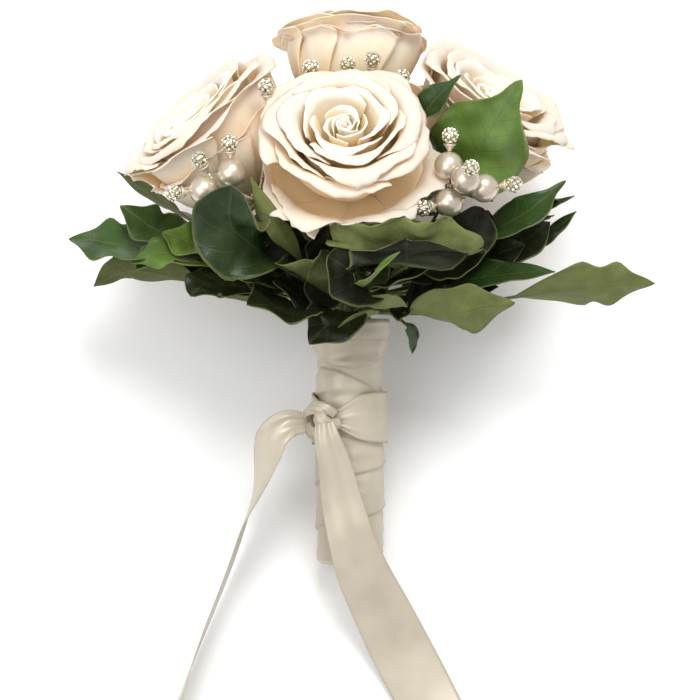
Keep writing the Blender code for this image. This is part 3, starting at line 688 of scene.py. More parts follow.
@dataclass(frozen=True)
class LeafFinish:
    """Ivy: a waxy dark upper side with pale veins, and a dull olive underside; leaves of the lowest tone
    are near black and dull, painted shade for the deep gaps among the leaves.
    """

    bright: Point = (0.105, 0.185, 0.026)
    middle: Point = (0.028, 0.066, 0.012)
    # Painted shade: near black, for leaves that stand in the deep gaps where only shade would show.
    dark: Point = (0.010, 0.012, 0.004)
    pale: Point = (0.15, 0.17, 0.055)
    vein: Point = (0.09, 0.13, 0.04)
    under: Point = (0.105, 0.125, 0.038)
    vein_gap: float = 8.6

    def material(self) -> bpy.types.Material:
        """Builds the material.

        Returns:
            The material, which reads the marks off, run, share, tone, edge and under; the lowest tone is
            painted shade.
        """
        paint = Paint("ivy_leaf")
        off, run, share = abs(paint.mark("off")), paint.mark("run"), paint.mark("share")
        tone, edge, under = paint.mark("tone"), paint.mark("edge"), paint.mark("under")
        wobble = paint.noise(paint.place(), 55.0, 2.0)
        fold = ((run - off * 0.85 + wobble * 3.4) / self.vein_gap).part()
        side_vein = abs(fold - 0.5).ease(0.006, 0.055, 1.0, 0.0) * off.ease(0.1, 0.6)
        rib = off.ease(0.15, 0.75, 1.0, 0.0)
        net = paint.cells(paint.place(), 420.0).ease(0.0, 0.12, 1.0, 0.0)
        veins = side_vein * 0.6 + rib
        # Tone runs from near black, painted shade for the deep gaps, to the leaf's own lighter green.
        upper = paint.mix(tone.ease(0.0, 0.5), self.dark, self.middle)
        upper = paint.mix(tone.ease(0.45, 1.0), upper, self.bright)
        blotch = paint.noise(paint.place(), 130.0, 3.0, 0.6)
        upper = paint.tint(upper, (blotch * 0.7 + 0.65) * (wobble * 1.5 + 0.25))
        lines = (veins * 0.45 + net * 0.06) * tone.ease(0.0, 0.6, 0.25, 1.0)
        upper = paint.mix(lines, upper, self.vein)
        lower = paint.mix(blotch.ease(0.3, 0.75), self.under, self.pale)
        # Painted shade: low tones also darken the underside.
        lower = paint.tint(lower, tone.ease(0.0, 1.0, 0.55, 1.15))
        lower = paint.mix(veins * 0.5 + net * 0.15, lower, self.pale)
        colour = paint.mix(under.ease(0.4, 0.6), upper, lower)
        colour = paint.mix(edge.ease(0.92, 0.99) * 0.55, colour, self.pale)
        stalk = share.ease(0.0, 0.12, 1.0, 0.0)
        colour = paint.mix(stalk * 0.6, colour, self.vein)
        puff = veins * -0.38 + net * -0.06 + blotch * 0.7
        normal = paint.bump(puff, 0.0004)
        # Painted shade: the lowest tones lose their gloss and coat, so they show no highlight.
        gloss = under.ease(0.4, 0.6, 0.30, 0.55) + blotch * 0.14 + tone.ease(0.0, 0.12, 0.16, 0.0)
        coat = under.ease(0.4, 0.6, 0.16, 0.0) * tone.ease(0.0, 0.12, 0.1, 1.0)
        paint.set(base_color=colour, roughness=gloss, normal=normal, coat_weight=coat)
        paint.set(coat_roughness=0.22, specular_ior_level=0.20)
        paint.set(subsurface_weight=0.06, subsurface_scale=0.0015)
        return paint.material


@dataclass(frozen=True)
class StemFinish:
    """Green stems and hips, a little brown where they were cut or rubbed."""

    green: Point = (0.10, 0.16, 0.045)
    brown: Point = (0.16, 0.11, 0.05)

    def material(self) -> bpy.types.Material:
        """Builds the material.

        Returns:
            The material, which is laid out on the points' own coordinates.
        """
        paint = Paint("green_stem")
        patches = paint.noise(paint.place(), 90.0, 3.0)
        grain = paint.noise(paint.place(), 900.0, 2.0)
        colour = paint.mix(patches.ease(0.45, 0.75), self.green, self.brown)
        colour = paint.tint(colour, grain * 0.4 + 0.8)
        paint.set(base_color=colour, roughness=grain * 0.2 + 0.45, normal=paint.bump(grain, 0.0002))
        return paint.material


@dataclass(frozen=True)
class SatinFinish:
    """Ivory satin ribbon: fine weft ribs, a soft sheen and a woven edge with loops."""

    ivory: Point = (0.52, 0.46, 0.36)
    shade: Point = (0.45, 0.395, 0.305)

    def material(self) -> bpy.types.Material:
        """Builds the material.

        Returns:
            The material, which reads the marks off and run in mm, and edge from 0 to 1.
        """
        paint = Paint("ivory_satin")
        off, run, edge = paint.mark("off"), paint.mark("run"), paint.mark("edge")
        streaks = paint.noise(paint.vector(off * 3.2, run * 0.10, 0.0), 1.0, 3.0, 0.6)
        weft = paint.noise(paint.vector(off * 0.5, run * 5.5, 3.0), 1.0, 2.0)
        clouds = paint.noise(paint.place(), 60.0, 2.0)
        colour = paint.mix(clouds.ease(0.3, 0.75), self.ivory, self.shade)
        colour = paint.tint(colour, streaks * 0.06 + weft * 0.05 + 0.94)
        selvedge = edge.ease(0.90, 0.93)
        loops = (run * 5.2).wave() * 0.5 + 0.5
        colour = paint.tint(colour, 1.0 - selvedge * loops * 0.10)
        height = streaks * 0.10 + weft * 0.22 + selvedge * loops * 0.6
        gloss = streaks * 0.10 + weft * 0.06 + selvedge * 0.2 + 0.31
        paint.set(base_color=colour, roughness=gloss, normal=paint.bump(height, 0.00012))
        paint.set(metallic=0.10, specular_ior_level=0.75, sheen_weight=0.05, sheen_roughness=0.35)
        return paint.material


@dataclass(frozen=True)
class PearlFinish:
    """Pearl coating: creamy, with a faint pink and green cast and a clear gloss."""

    cream: Point = (0.67, 0.585, 0.45)
    cast: Point = (0.62, 0.535, 0.45)

    def material(self) -> bpy.types.Material:
        """Builds the material.

        Returns:
            The material, which is laid out on the points' own coordinates.
        """
        paint = Paint("pearl_coating")
        drift = paint.noise(paint.place(), 150.0, 1.0)
        fine = paint.noise(paint.place(), 1800.0, 2.0)
        colour = paint.mix(drift.ease(0.35, 0.7), self.cream, self.cast)
        paint.set(base_color=colour, roughness=fine * 0.06 + 0.27, normal=paint.bump(fine, 0.00001))
        paint.set(coat_weight=0.6, coat_roughness=0.10, metallic=0.62)
        paint.set(specular_ior_level=0.7)
        return paint.material


@dataclass(frozen=True)
class StoneFinish:
    """Foil-backed cut stones: bright facets that change tint from stone to stone."""

    clear: Point = (0.92, 0.90, 0.82)
    gold: Point = (0.62, 0.55, 0.36)

    def material(self) -> bpy.types.Material:
        """Builds the material.

        Returns:
            The material, which reads the mark spark, from 0 to 1 on each facet.
        """
        paint = Paint("cut_stone")
        spark = paint.mark("spark")
        colour = paint.mix(spark.ease(0.15, 0.85), self.gold, self.clear)
        metallic = spark.ease(0.0, 1.0, 0.95, 0.55)
        paint.set(base_color=colour, metallic=metallic, roughness=spark * 0.10 + 0.06)
        paint.set(coat_weight=1.0, coat_roughness=0.03, specular_ior_level=0.8)
        return paint.material


@dataclass(frozen=True)
class WireFinish:
    """Champagne wire and the little caps on it."""

    tape: Point = (0.74, 0.62, 0.44)
    dusty: Point = (0.80, 0.72, 0.58)

    def material(self) -> bpy.types.Material:
        """Builds the material.

        Returns:
            The material, which reads the mark run, in mm along the wire.
        """
        paint = Paint("champagne_wire")
        run = paint.mark("run")
        twist = (run * 4.4).wave() * 0.5 + 0.5
        dust = paint.noise(paint.place(), 700.0, 2.0)
        colour = paint.tint(paint.mix(dust, self.tape, self.dusty), twist * 0.25 + 0.78)
        paint.set(base_color=colour, metallic=0.55, roughness=dust * 0.2 + 0.28)
        paint.set(normal=paint.bump(twist, 0.00025))
        return paint.material


@dataclass
class Finishes:
    """Every material, built once."""

    petal: bpy.types.Material = field(default_factory=lambda: PetalFinish().material())
    leaf: bpy.types.Material = field(default_factory=lambda: LeafFinish().material())
    stem: bpy.types.Material = field(default_factory=lambda: StemFinish().material())
    satin: bpy.types.Material = field(default_factory=lambda: SatinFinish().material())
    pearl: bpy.types.Material = field(default_factory=lambda: PearlFinish().material())
    stone: bpy.types.Material = field(default_factory=lambda: StoneFinish().material())
    wire: bpy.types.Material = field(default_factory=lambda: WireFinish().material())


# Roses


@dataclass(frozen=True)
class PetalRing:
    """A ring of petals in a bloom's own frame, in millimetres and degrees.

    Its claws leave the heart at height claw; its wall stands at radius wall; its rim
    reaches height rim and rolls out by an arc of radius lip through the angle roll.
    Each petal covers wrap degrees to each side, is cut back at its corners and
    leans out by flare between its wall and its rim.
    """

    count: int
    claw: float
    wall: float
    rim: float
    lip: float
    roll: float
    wrap: float
    first: float
    corner: float = 0.24
    ruffle: float = 0.5
    flare: float = 1.0


RINGS = (
    PetalRing(3, 16, 4.0, 37.4, 0.7, 70, 84, 20, 0.16, 0.25, 2.0),
    PetalRing(3, 14, 7.4, 38.2, 1.2, 100, 80, 75, 0.18, 0.45, 3.6),
    PetalRing(3, 11, 13.4, 39.8, 2.6, 134, 82, 15, 0.16, 0.7, 6.4),
    PetalRing(3, 8, 18.6, 40.0, 3.5, 142, 77, 62, 0.15, 0.9, 5.4),
    PetalRing(4, 6, 23.2, 38.6, 3.9, 148, 64, 8, 0.13, 1.1, 3.8),
    PetalRing(4, 3, 26.2, 34.5, 4.0, 150, 66, 50, 0.12, 1.2, 1.6),
)
OPEN_RING = PetalRing(0, 1.5, 31.0, 17.0, 7.0, 108, 46, 0, 0.16, 1.8)
CLOSE_RING = PetalRing(0, 1.5, 27.2, 25.5, 2.2, 120, 52, 0, 0.14, 1.2)
HIGH_RING = PetalRing(0, 1.5, 27.0, 31.0, 3.2, 120, 42, 0, 0.14, 1.8)


@dataclass(frozen=True)
class Rose:
    """One open rose.

    The middle of its face, the degrees round and up that it looks, its size, the
    angles of its loose petals, how far it is spun, the ring that its loose petals
    follow, and the number of points along and across each petal.
    """

    name: str
    centre: Point
    turn: float
    rise: float
    size: float
    loose: tuple[float, ...]
    spin: float = 0.0
    loose_ring: PetalRing = CLOSE_RING
    grid: int = 29


ROSES = (
    Rose("front", (-2.2, -63, 187), 0, 37, 0.99, (-152, -106, -62, -18), 0, OPEN_RING),
    Rose("left", (-69, -19, 196), -66, 46, 1.15, (-108, -52, -4), 40),
    Rose("right", (65, -3, 206), 50, 50, 1.13, (-120, -66, -14), 75),
    Rose("top", (0, 7, 233), 180, 80, 1.0, (38, 88, 136), 15, HIGH_RING),
    Rose("back_left", (-38, 57, 190), -143, 44, 0.98, (-90,), 130, grid=23),
    Rose("back_right", (38, 58, 190), 143, 44, 0.98, (-90,), 200, grid=23),
)


@dataclass
class RoseBuilder:
    """Builds the roses, petal by petal, and presses neighbours flat against each other."""

    depth: float = 42.0
    heart: Point = (0, 0, 142)
    wired: tuple[tuple[str, str], ...] = (("front", "top"), ("front", "left"))
    keep: float = 0.75
    wired_keep: float = 1.8
    margin: float = 4.0
    claw_radius: float = 2.2
    lip_start: float = 0.86
    lip_widening: float = 0.038
    flare_share: float = 0.62
    petal_thickness: float = 0.60
    petal_thinning: float = 0.25
    over_table: float = 0.35
    scroll_turns: float = 1.9
    scroll_grid: tuple[int, int] = (80, 14)

    def frame(self, rose: Rose) -> tuple[np.ndarray, np.ndarray]:
        """Where a rose stands.

        Args:
            rose: the rose.

        Returns:
            Its own axes, as rows that carry its size, and the place of its base.
        """
        look = heading(rose.turn, rose.rise)
        right = heading(rose.turn + 90, 0)
        base = np.array(rose.centre) - look * self.depth * rose.size
        return np.stack([right, np.cross(look, right), look]) * rose.size, base

    def walls(self, rose: Rose) -> list[tuple[np.ndarray, np.ndarray, float]]:
        """The planes between a rose and its neighbours.

        Args:
            rose: the rose.

        Returns:
            For each neighbour a spot on the plane, the way towards the neighbour and how
            far from the plane the rose keeps.
        """
        own, found = np.array(rose.centre, float), []
        for other in ROSES:
            if other.name == rose.name:
                continue
            middle = (own + np.array(other.centre)) / 2
            outward = unit(middle - np.array(self.heart))
            away = np.array(other.centre) - own
            away = unit(away - outward * (away @ outward))
            pair = {rose.name, other.name}
            wired = any(pair == set(names) for names in self.wired)
            found.append((middle, away, self.wired_keep if wired else self.keep))
        return found

    def pressed_in(
        self, points: np.ndarray, walls: list[tuple[np.ndarray, np.ndarray, float]]
    ) -> np.ndarray:
        """Points pushed back from every plane between roses.

        Args:
            points: the points, on the last axis.
            walls: the planes, as walls gives them.

        Returns:
            The points.
        """
        for spot, away, keep in walls:
            points = pressed(points, spot, away, keep, self.margin)
        return points

    def petal(
        self, ring: PetalRing, middle: float, grid: int, draw: np.random.Generator
    ) -> tuple[np.ndarray, dict]:
        """One petal's middle surface in the bloom's own frame.

        Up to the lip it is a Bezier wall from the claw to the rim; over the lip it
        follows an arc out and down, wider at the point. One side edge lies over the
        next petal, the other tucks under the last. Sines with drawn phases make the
        ruffle, the folds along the petal and the fine nicks in its edge.

        Args:
            ring: the petal's ring.
            middle: the angle of its middle, in degrees.
            grid: how many points it has each way.
            draw: where its random numbers come from.

        Returns:
            The points, rows by columns by 3, and the marks for its finish.
        """
        u, v = across_along(grid, grid)
        phase = draw.uniform(0, 2 * np.pi, 8)
        tilt = draw.uniform(-0.15, 0.15)
        height = draw.uniform(-0.8, 0.8)
        pull = draw.uniform(-0.5, 0.5)
        bulge = draw.uniform(-0.4, 0.9)
        notch = draw.uniform(-0.6, 0.6)
        nicks = waves(u, (0.006, 31, phase[5]), (0.005, 53, phase[6]))
        point = 0.022 * hump(tilt, 0.18, u) - 0.022 * hump(notch, 0.08, u) + nicks * ring.ruffle
        reach = v * (1 - ring.corner * np.abs(u - tilt) ** 2.6) + v**5 * point
        lip_from = self.lip_start - self.lip_widening * ring.lip
        rim = ring.rim + height
        bed = ring.wall - self.flare_share * ring.flare
        line = bezier(
            np.clip(reach / lip_from, 0, 1),
            np.array([self.claw_radius, ring.claw]),
            np.array([bed * 0.88, ring.claw + rim * 0.05]),
            np.array([bed, rim * 0.62]),
            np.array([ring.wall * 1.02, rim - ring.lip]),
        )
        over = np.maximum(0, (reach - lip_from) / (1 - lip_from))
        strength = 0.78 + waves(u, (0.22, 2.6, phase[0]), (0.10, 7.0, phase[1]))
        angle = np.radians(ring.roll) * over * strength
        lip = ring.lip * (1 + 0.2 * hump(tilt, 0.35, u))
        side = np.maximum(0, (u - 0.45) / 0.55) ** 2 * reach**2
        wave = waves(u, (0.55, 4.2, phase[1]), (0.30, 9.1, phase[2]))
        folds = waves(u, (0.22, 12, phase[3]), (0.12, 23, phase[4]))
        out = line[..., 0] + lip * (1 - np.cos(angle)) + 0.25 * lip * over
        out = out + 0.9 * ring.lip * side + 1.9 * u * np.minimum(1, 1.6 * reach) + pull * reach**2
        out = out + bulge * (np.cos(1.7 * u) - 0.5) * reach**2
        out = out + ring.ruffle * (wave * reach**3 + folds * ease(0.35, 0.95, reach))
        up = line[..., 1] + lip * np.sin(angle) - 0.6 * ring.lip * side
        crest = waves(u, (0.6, 5.1, phase[3]), (0.25, 11.0, phase[4]))
        up = up + ring.ruffle * crest * reach**4
        spread = ring.wrap * (0.40 + 0.60 * np.minimum(1, reach / 0.7))
        angle = np.radians(middle + u * spread)
        points = np.stack([out * np.cos(angle), out * np.sin(angle), up], axis=-1)
        across = u * ring.wall * np.radians(ring.wrap) + 40 * phase[7]
        seed = np.full_like(u, 9 * phase[0])
        return points, {"reach": reach, "off": across, "run": v * rim, "seed": seed}

    def scroll(self, draw: np.random.Generator) -> tuple[np.ndarray, dict]:
        """The bud's heart: one petal wound into a spiral whose radius grows with its turns.

        Args:
            draw: where its random number comes from.

        Returns:
            The points, rows by columns by 3, and the marks for its finish.
        """
        u, v = across_along(*self.scroll_grid)
        turns = (u + 1) / 2
        angle = 2 * np.pi * self.scroll_turns * turns + draw.uniform(0, 6)
        radius = 0.5 + 3.0 * turns**0.8 + 0.5 * ease(0.75, 1.0, v) - 0.5 * (1 - v) * turns
        up = 18 + (17.4 + 1.8 * turns + 0.5 * np.sin(9 * turns)) * v
        points = np.stack([radius * np.cos(angle), radius * np.sin(angle), up], axis=-1)
        marks = {"reach": 0.35 + 0.55 * v, "off": radius * angle, "run": up, "seed": np.zeros_like(u)}
        return points, marks

    def build(self, rose: Rose, finishes: Finishes, seed: int) -> bpy.types.Object:
        """Builds one rose.

        Args:
            rose: where and how it stands.
            finishes: the materials.
            seed: starts its own random numbers.

        Returns:
            The finished piece.
        """
        draw = np.random.default_rng(seed)
        axes, base = self.frame(rose)
        walls = self.walls(rose)
        shell = Shell()
        petals = [self.scroll(draw)]
        # The ring mark counts out from the heart; the finish paints the heart lighter and the outer rims
        # darker, as light and shade besides age.
        for age, ring in enumerate(RINGS, 1):
            shift = np.append(draw.normal(0, 0.35, 2), 0)
            for number in range(ring.count):
                middle = rose.spin + ring.first + number * 360 / ring.count + draw.uniform(-9, 9)
                points, marks = self.petal(ring, middle, rose.grid, draw)
                petals.append((points + shift, marks | {"age": age / len(RINGS)}))
        for middle in rose.loose:
            points, marks = self.petal(rose.loose_ring, middle, rose.grid, draw)
            petals.append((points, marks | {"age": 1.0}))
        for points, marks in petals:
            placed = BENCH.off_table(
                self.pressed_in(base + points @ axes, walls), self.over_table, self.margin
            )
            thickness = self.petal_thickness - self.petal_thinning * marks["reach"]
            shell.add_sheet(placed, thickness, **marks)
        return shell.piece(f"petals_{rose.name}", finishes.petal, [f"rose_{rose.name}"])


# Ivy


class Outline(Enum):
    """The shape of a leaf's edge."""

    POINTED = "pointed"
    LOBED = "lobed"
    ROUND = "round"
    TAPERED = "tapered"


@dataclass(frozen=True)
class Leaf:
    """One ivy leaf, in millimetres and degrees.

    The middle of its blade and its tip, half its width, the way its upper side looks
    (round, up), its outline, its edges' lift and wave as shares of the half width,
    where the wave starts and the blade starts, how light its green is, and how far
    its edge swings in its own plane and ruffles across its end, as shares of the
    half width.
    """

    belly: Point
    tip: Point
    half: float
    face: tuple[float, float]
    outline: Outline = Outline.POINTED
    cup: float = 0.12
    wave: float = 0.10
    phase: float = 0.0
    stalk: float = 0.38
    # Low tones are painted shade: near-black leaves put into the deep gaps.
    tone: float = 0.45
    frill: float = 0.03
    ruffle: float = 0.02


@dataclass(frozen=True)
class Sprig:
    """Leaves whose stalks leave the neck at one place: degrees round and height."""

    name: str
    turn: float
    height: float
    leaves: tuple[Leaf, ...]


POINTED, LOBED, ROUND, TAPERED = Outline.POINTED, Outline.LOBED, Outline.ROUND, Outline.TAPERED

SPRIGS = (
    Sprig("far_left", -84, 113, (
        Leaf((-95, -14, 136), (-120, -8, 139), 17, (-20, 55), LOBED, stalk=0.42, tone=0.55),
        Leaf((-76, -24, 131), (-90, -30, 125), 13, (-30, 60), tone=0.4),
    )),
    Sprig("left_under", -98, 108, (
        Leaf((-93, -4, 126), (-110, -2, 119), 10, (180, 55), cup=0.3, tone=0.3),
    )),
    Sprig("left_upper", -72, 118, (
        Leaf((-81, -11, 142), (-98, -10, 153), 13, (-24, 50), LOBED, tone=0.5),
        Leaf((-66, -24, 136), (-79, -24, 141), 12, (-40, 50), tone=0.95),
    )),
    Sprig("left_under_rose", -100, 121, (
        Leaf((-74, 17, 151), (-101, 10, 169), 9, (-90, 60), tone=0.3),
    )),
    Sprig("left_cup", -34, 117, (
        Leaf((-47, -55, 140), (-48, -68, 158), 17, (-16, 12), ROUND, 0.25, 0.08, tone=0.22),
        Leaf((-30, -57, 142), (-40, -70, 161), 4.6, (200, 12), cup=0.4, tone=0.9, wave=0.3),
        # Painted shade: a near-black leaf of tone 0 filling the gap.
        Leaf((-8, -32, 132), (-10, -38, 143), 11, (0, 12), ROUND, tone=0.0),
    )),
    Sprig("left_round", -56, 112, (
        Leaf((-58, -36, 119), (-66, -42, 114), 10, (-20, 35), ROUND, tone=0.15),
        Leaf((-48, -44, 123), (-48, -52, 120), 6, (0, 40), ROUND, tone=0.8),
    )),
    Sprig("low_left", -14, 107.5, (
        Leaf((-27, -44, 109), (-42, -60, 110), 16, (-15, 42), wave=0.14, tone=0.05),
        Leaf((-5, -34, 106), (-17, -39, 94), 13, (0, 35), stalk=0.45, tone=0.08),
    )),
    Sprig("funnel", -8, 113, (
        Leaf((-17, -46, 121), (-15, -62, 128), 13, (0, 48), ROUND, 0.55, 0.05, tone=0.2),
    )),
    Sprig("low_middle", 16, 107.5, (
        Leaf((12, -40, 110), (16, -60, 114), 12, (180, 62), wave=0.14, tone=0.8),
    )),
    Sprig("wavy", 12, 117, (
        Leaf(
            (21, -54, 126), (23, -75, 143), 32, (180, 38), ROUND, 0.18, 0.10, 0.6, 0.58, 0.8, 0.05, 0.11,
        ),
        # Painted shade: a near-black leaf of tone 0 filling the gap.
        Leaf((17, -31, 133), (19, -36, 145), 11, (0, 12), ROUND, tone=0.0),
    )),
    Sprig("right_dark", 36, 121, (
        Leaf((48, -34, 138), (55, -34, 151), 11, (14, 14), ROUND, 0.25, tone=0.05),
    )),
    Sprig("green_sail", 62, 123, (
        Leaf(
            (51, -37, 172), (71, -45, 203), 21, (-4, 10), TAPERED, 0.14, 0.10, 1.0, 0.46, 0.8, 0.02, 0.05,
        ),
        Leaf((31.5, -34, 190), (46, -37, 206), 6.5, (-10, 30), TAPERED, 0.3, stalk=0.55, tone=0.4),
    )),
    Sprig("right_long", 76, 119, (
        Leaf((71, -28, 147.5), (91, -22, 163), 9.5, (20, 50), TAPERED, tone=0.4),
        Leaf((72, -16, 137), (85, -14, 146), 10, (10, 35), tone=0.1),
    )),
    Sprig("right_thin", 92, 122, (
        Leaf((77, -2, 152), (95, 2, 157), 11, (90, 80), LOBED, tone=0.2),
    )),
    Sprig("right_thin_low", 102, 116, (
        Leaf((73, 8, 145), (87, 12, 149), 12, (0, 86), LOBED, tone=0.2),
        Leaf((80, -4, 137), (97, -4, 151), 8, (30, 68), tone=0.2),
    )),
    Sprig("right_low", 56, 112, (
        Leaf((56, -34, 122), (85, -40, 124), 13, (0, 58), LOBED, tone=0.3),
    )),
    Sprig("far_right", 84, 108, (
        Leaf((100, -10, 118), (130, -8, 120), 15, (180, 50), LOBED, stalk=0.42, tone=0.9),
    )),
    Sprig("low_right", 38, 107.5, (
        Leaf((42, -42, 107), (68, -46, 111), 14, (180, 42), wave=0.14, tone=0.75),
    )),
    Sprig("drop", 118, 110, (
        Leaf((25, 9, 102), (27, 6, 90), 5, (60, 20), stalk=0.55, tone=0.5),
    )),
)


# Leaves deeper among the sprigs, by the sprig that each belongs to. Those of the lowest tones are near
# black, painted shade that fills the gaps.
INNER_LEAVES = {
    "left_cup": (
        Leaf((-24, -26, 134), (-30, -36, 148), 13, (-30, 15), ROUND, tone=0.0),
        Leaf((-34, -22, 124), (-46, -34, 132), 12, (-30, 25), tone=0.1),
    ),
    "wavy": (
        Leaf(
            (22, -60, 125), (23, -71, 136), 25, (4, 12), ROUND, 0.12, 0.14, 0.0, 0.70, 0.0, ruffle=0.05,
        ),
        Leaf((2, -54, 122), (-9, -62, 130), 14, (0, 16), ROUND, tone=0.0, wave=0.16),
        Leaf((8, -72, 120), (20, -78, 131), 4.5, (-20, 62), tone=1.0, cup=0.35, wave=0.2),
        Leaf((6, -30, 134), (4, -38, 150), 14, (0, 15), ROUND, tone=0.0),
        Leaf((20, -46, 122), (34, -58, 126), 13, (20, 40), tone=0.05, wave=0.2),
        Leaf((6, -44, 122), (-2, -56, 128), 11, (-10, 30), tone=0.25, wave=0.2),
    ),
    "right_dark": (
        Leaf((30, -26, 132), (38, -34, 146), 13, (30, 15), ROUND, tone=0.0),
        Leaf((44, -44, 128), (56, -50, 132), 11, (30, 30), tone=0.05, wave=0.2),
    ),
    "low_left": (Leaf((-20, -26, 114), (-32, -40, 120), 12, (-20, 30), tone=0.05),),
    "low_middle": (
        Leaf((4, -24, 112), (2, -42, 118), 12, (0, 40), tone=0.1),
        Leaf((6, -32, 105), (-5, -38, 101), 6, (180, 40), tone=1.0, stalk=0.3, wave=0.2),
    ),
    "low_right": (Leaf((26, -24, 112), (40, -38, 118), 12, (20, 35), tone=0.05),),
    "left_round": (Leaf((-42, -22, 122), (-56, -30, 130), 12, (-40, 30), tone=0.1),),
    "green_sail": (Leaf((46, -20, 136), (58, -28, 150), 12, (40, 15), ROUND, tone=0.05),),
    "right_long": (Leaf((56, -16, 130), (74, -20, 136), 12, (30, 25), tone=0.1),),
    "right_low": (Leaf((44, -22, 116), (62, -30, 118), 11, (20, 35), tone=0.1),),
    "far_left": (
        Leaf((-56, -12, 124), (-76, -16, 130), 12, (-60, 40), tone=0.2),
        Leaf((-74, -29, 132), (-92, -28, 128), 11, (-25, 45), LOBED, tone=0.8, wave=0.16),
    ),
    "left_upper": (Leaf((-50, -20, 134), (-62, -30, 144), 12, (-45, 20), tone=0.1),),
    "funnel": (Leaf((-10, -22, 118), (-14, -36, 128), 11, (-5, 25), tone=0.0),),
    "right_thin": (
        Leaf((50, 0, 130), (66, 2, 140), 11, (90, 40), LOBED, tone=0.3),
        Leaf((82, -6, 151.5), (96, -6, 157.5), 2.8, (10, 60), tone=0.1, stalk=0.5),
        Leaf((74, -10, 144.5), (87, -10, 149), 2.6, (10, 60), tone=0.05, stalk=0.5),
    ),
    "right_thin_low": (Leaf((44, 10, 117), (60, 14, 122), 11, (100, 50), LOBED, tone=0.3),),
    "left_under_rose": (Leaf((-50, 8, 130), (-68, 10, 140), 11, (-90, 40), LOBED, tone=0.3),),
    "left_under": (Leaf((-48, 2, 114), (-66, 4, 118), 11, (-90, 50), LOBED, tone=0.3),),
    "drop": (Leaf((34, 14, 116), (46, 20, 120), 10, (110, 50), LOBED, tone=0.25),),
}


@dataclass(frozen=True)
class FarLeaf:
    """A leaf on the side that lies down, in millimetres and degrees.

    The way it points, how far out and how high its tip is, and half its width.
    """

    turn: float
    reach: float
    height: float
    half: float

    def spot(self, turn: float, share: float, rise: float) -> Point:
        """A place by the leaf.

        Args:
            turn: degrees past the leaf's own way.
            share: how far out, as a share of its reach.
            rise: how far over its tip.

        Returns:
            The place.
        """
        return tuple(heading(self.turn + turn, 0) * self.reach * share + [0, 0, self.height + rise])

    def leaves(self) -> tuple[Leaf, Leaf]:
        """The leaf, and a smaller one that closes the gap beside it.

        Returns:
            Both leaves.
        """
        belly, tip = self.spot(0, 0.62, -10), self.spot(4, 1.0, 0)
        outer = Leaf(belly, tip, self.half, (self.turn, 66), LOBED, phase=self.turn, tone=0.3)
        belly, tip = self.spot(13, 0.45, -4), self.spot(13, 0.72, 2)
        return outer, Leaf(belly, tip, 11, (self.turn, 50), phase=self.turn, tone=0.15)


FAR_LEAVES = (
    FarLeaf(120, 66, 132, 15),
    FarLeaf(140, 62, 142, 16),
    FarLeaf(162, 58, 132, 14),
    FarLeaf(186, 58, 141, 15),
    FarLeaf(210, 58, 132, 14),
    FarLeaf(230, 64, 142, 16),
    FarLeaf(250, 70, 132, 15),
)


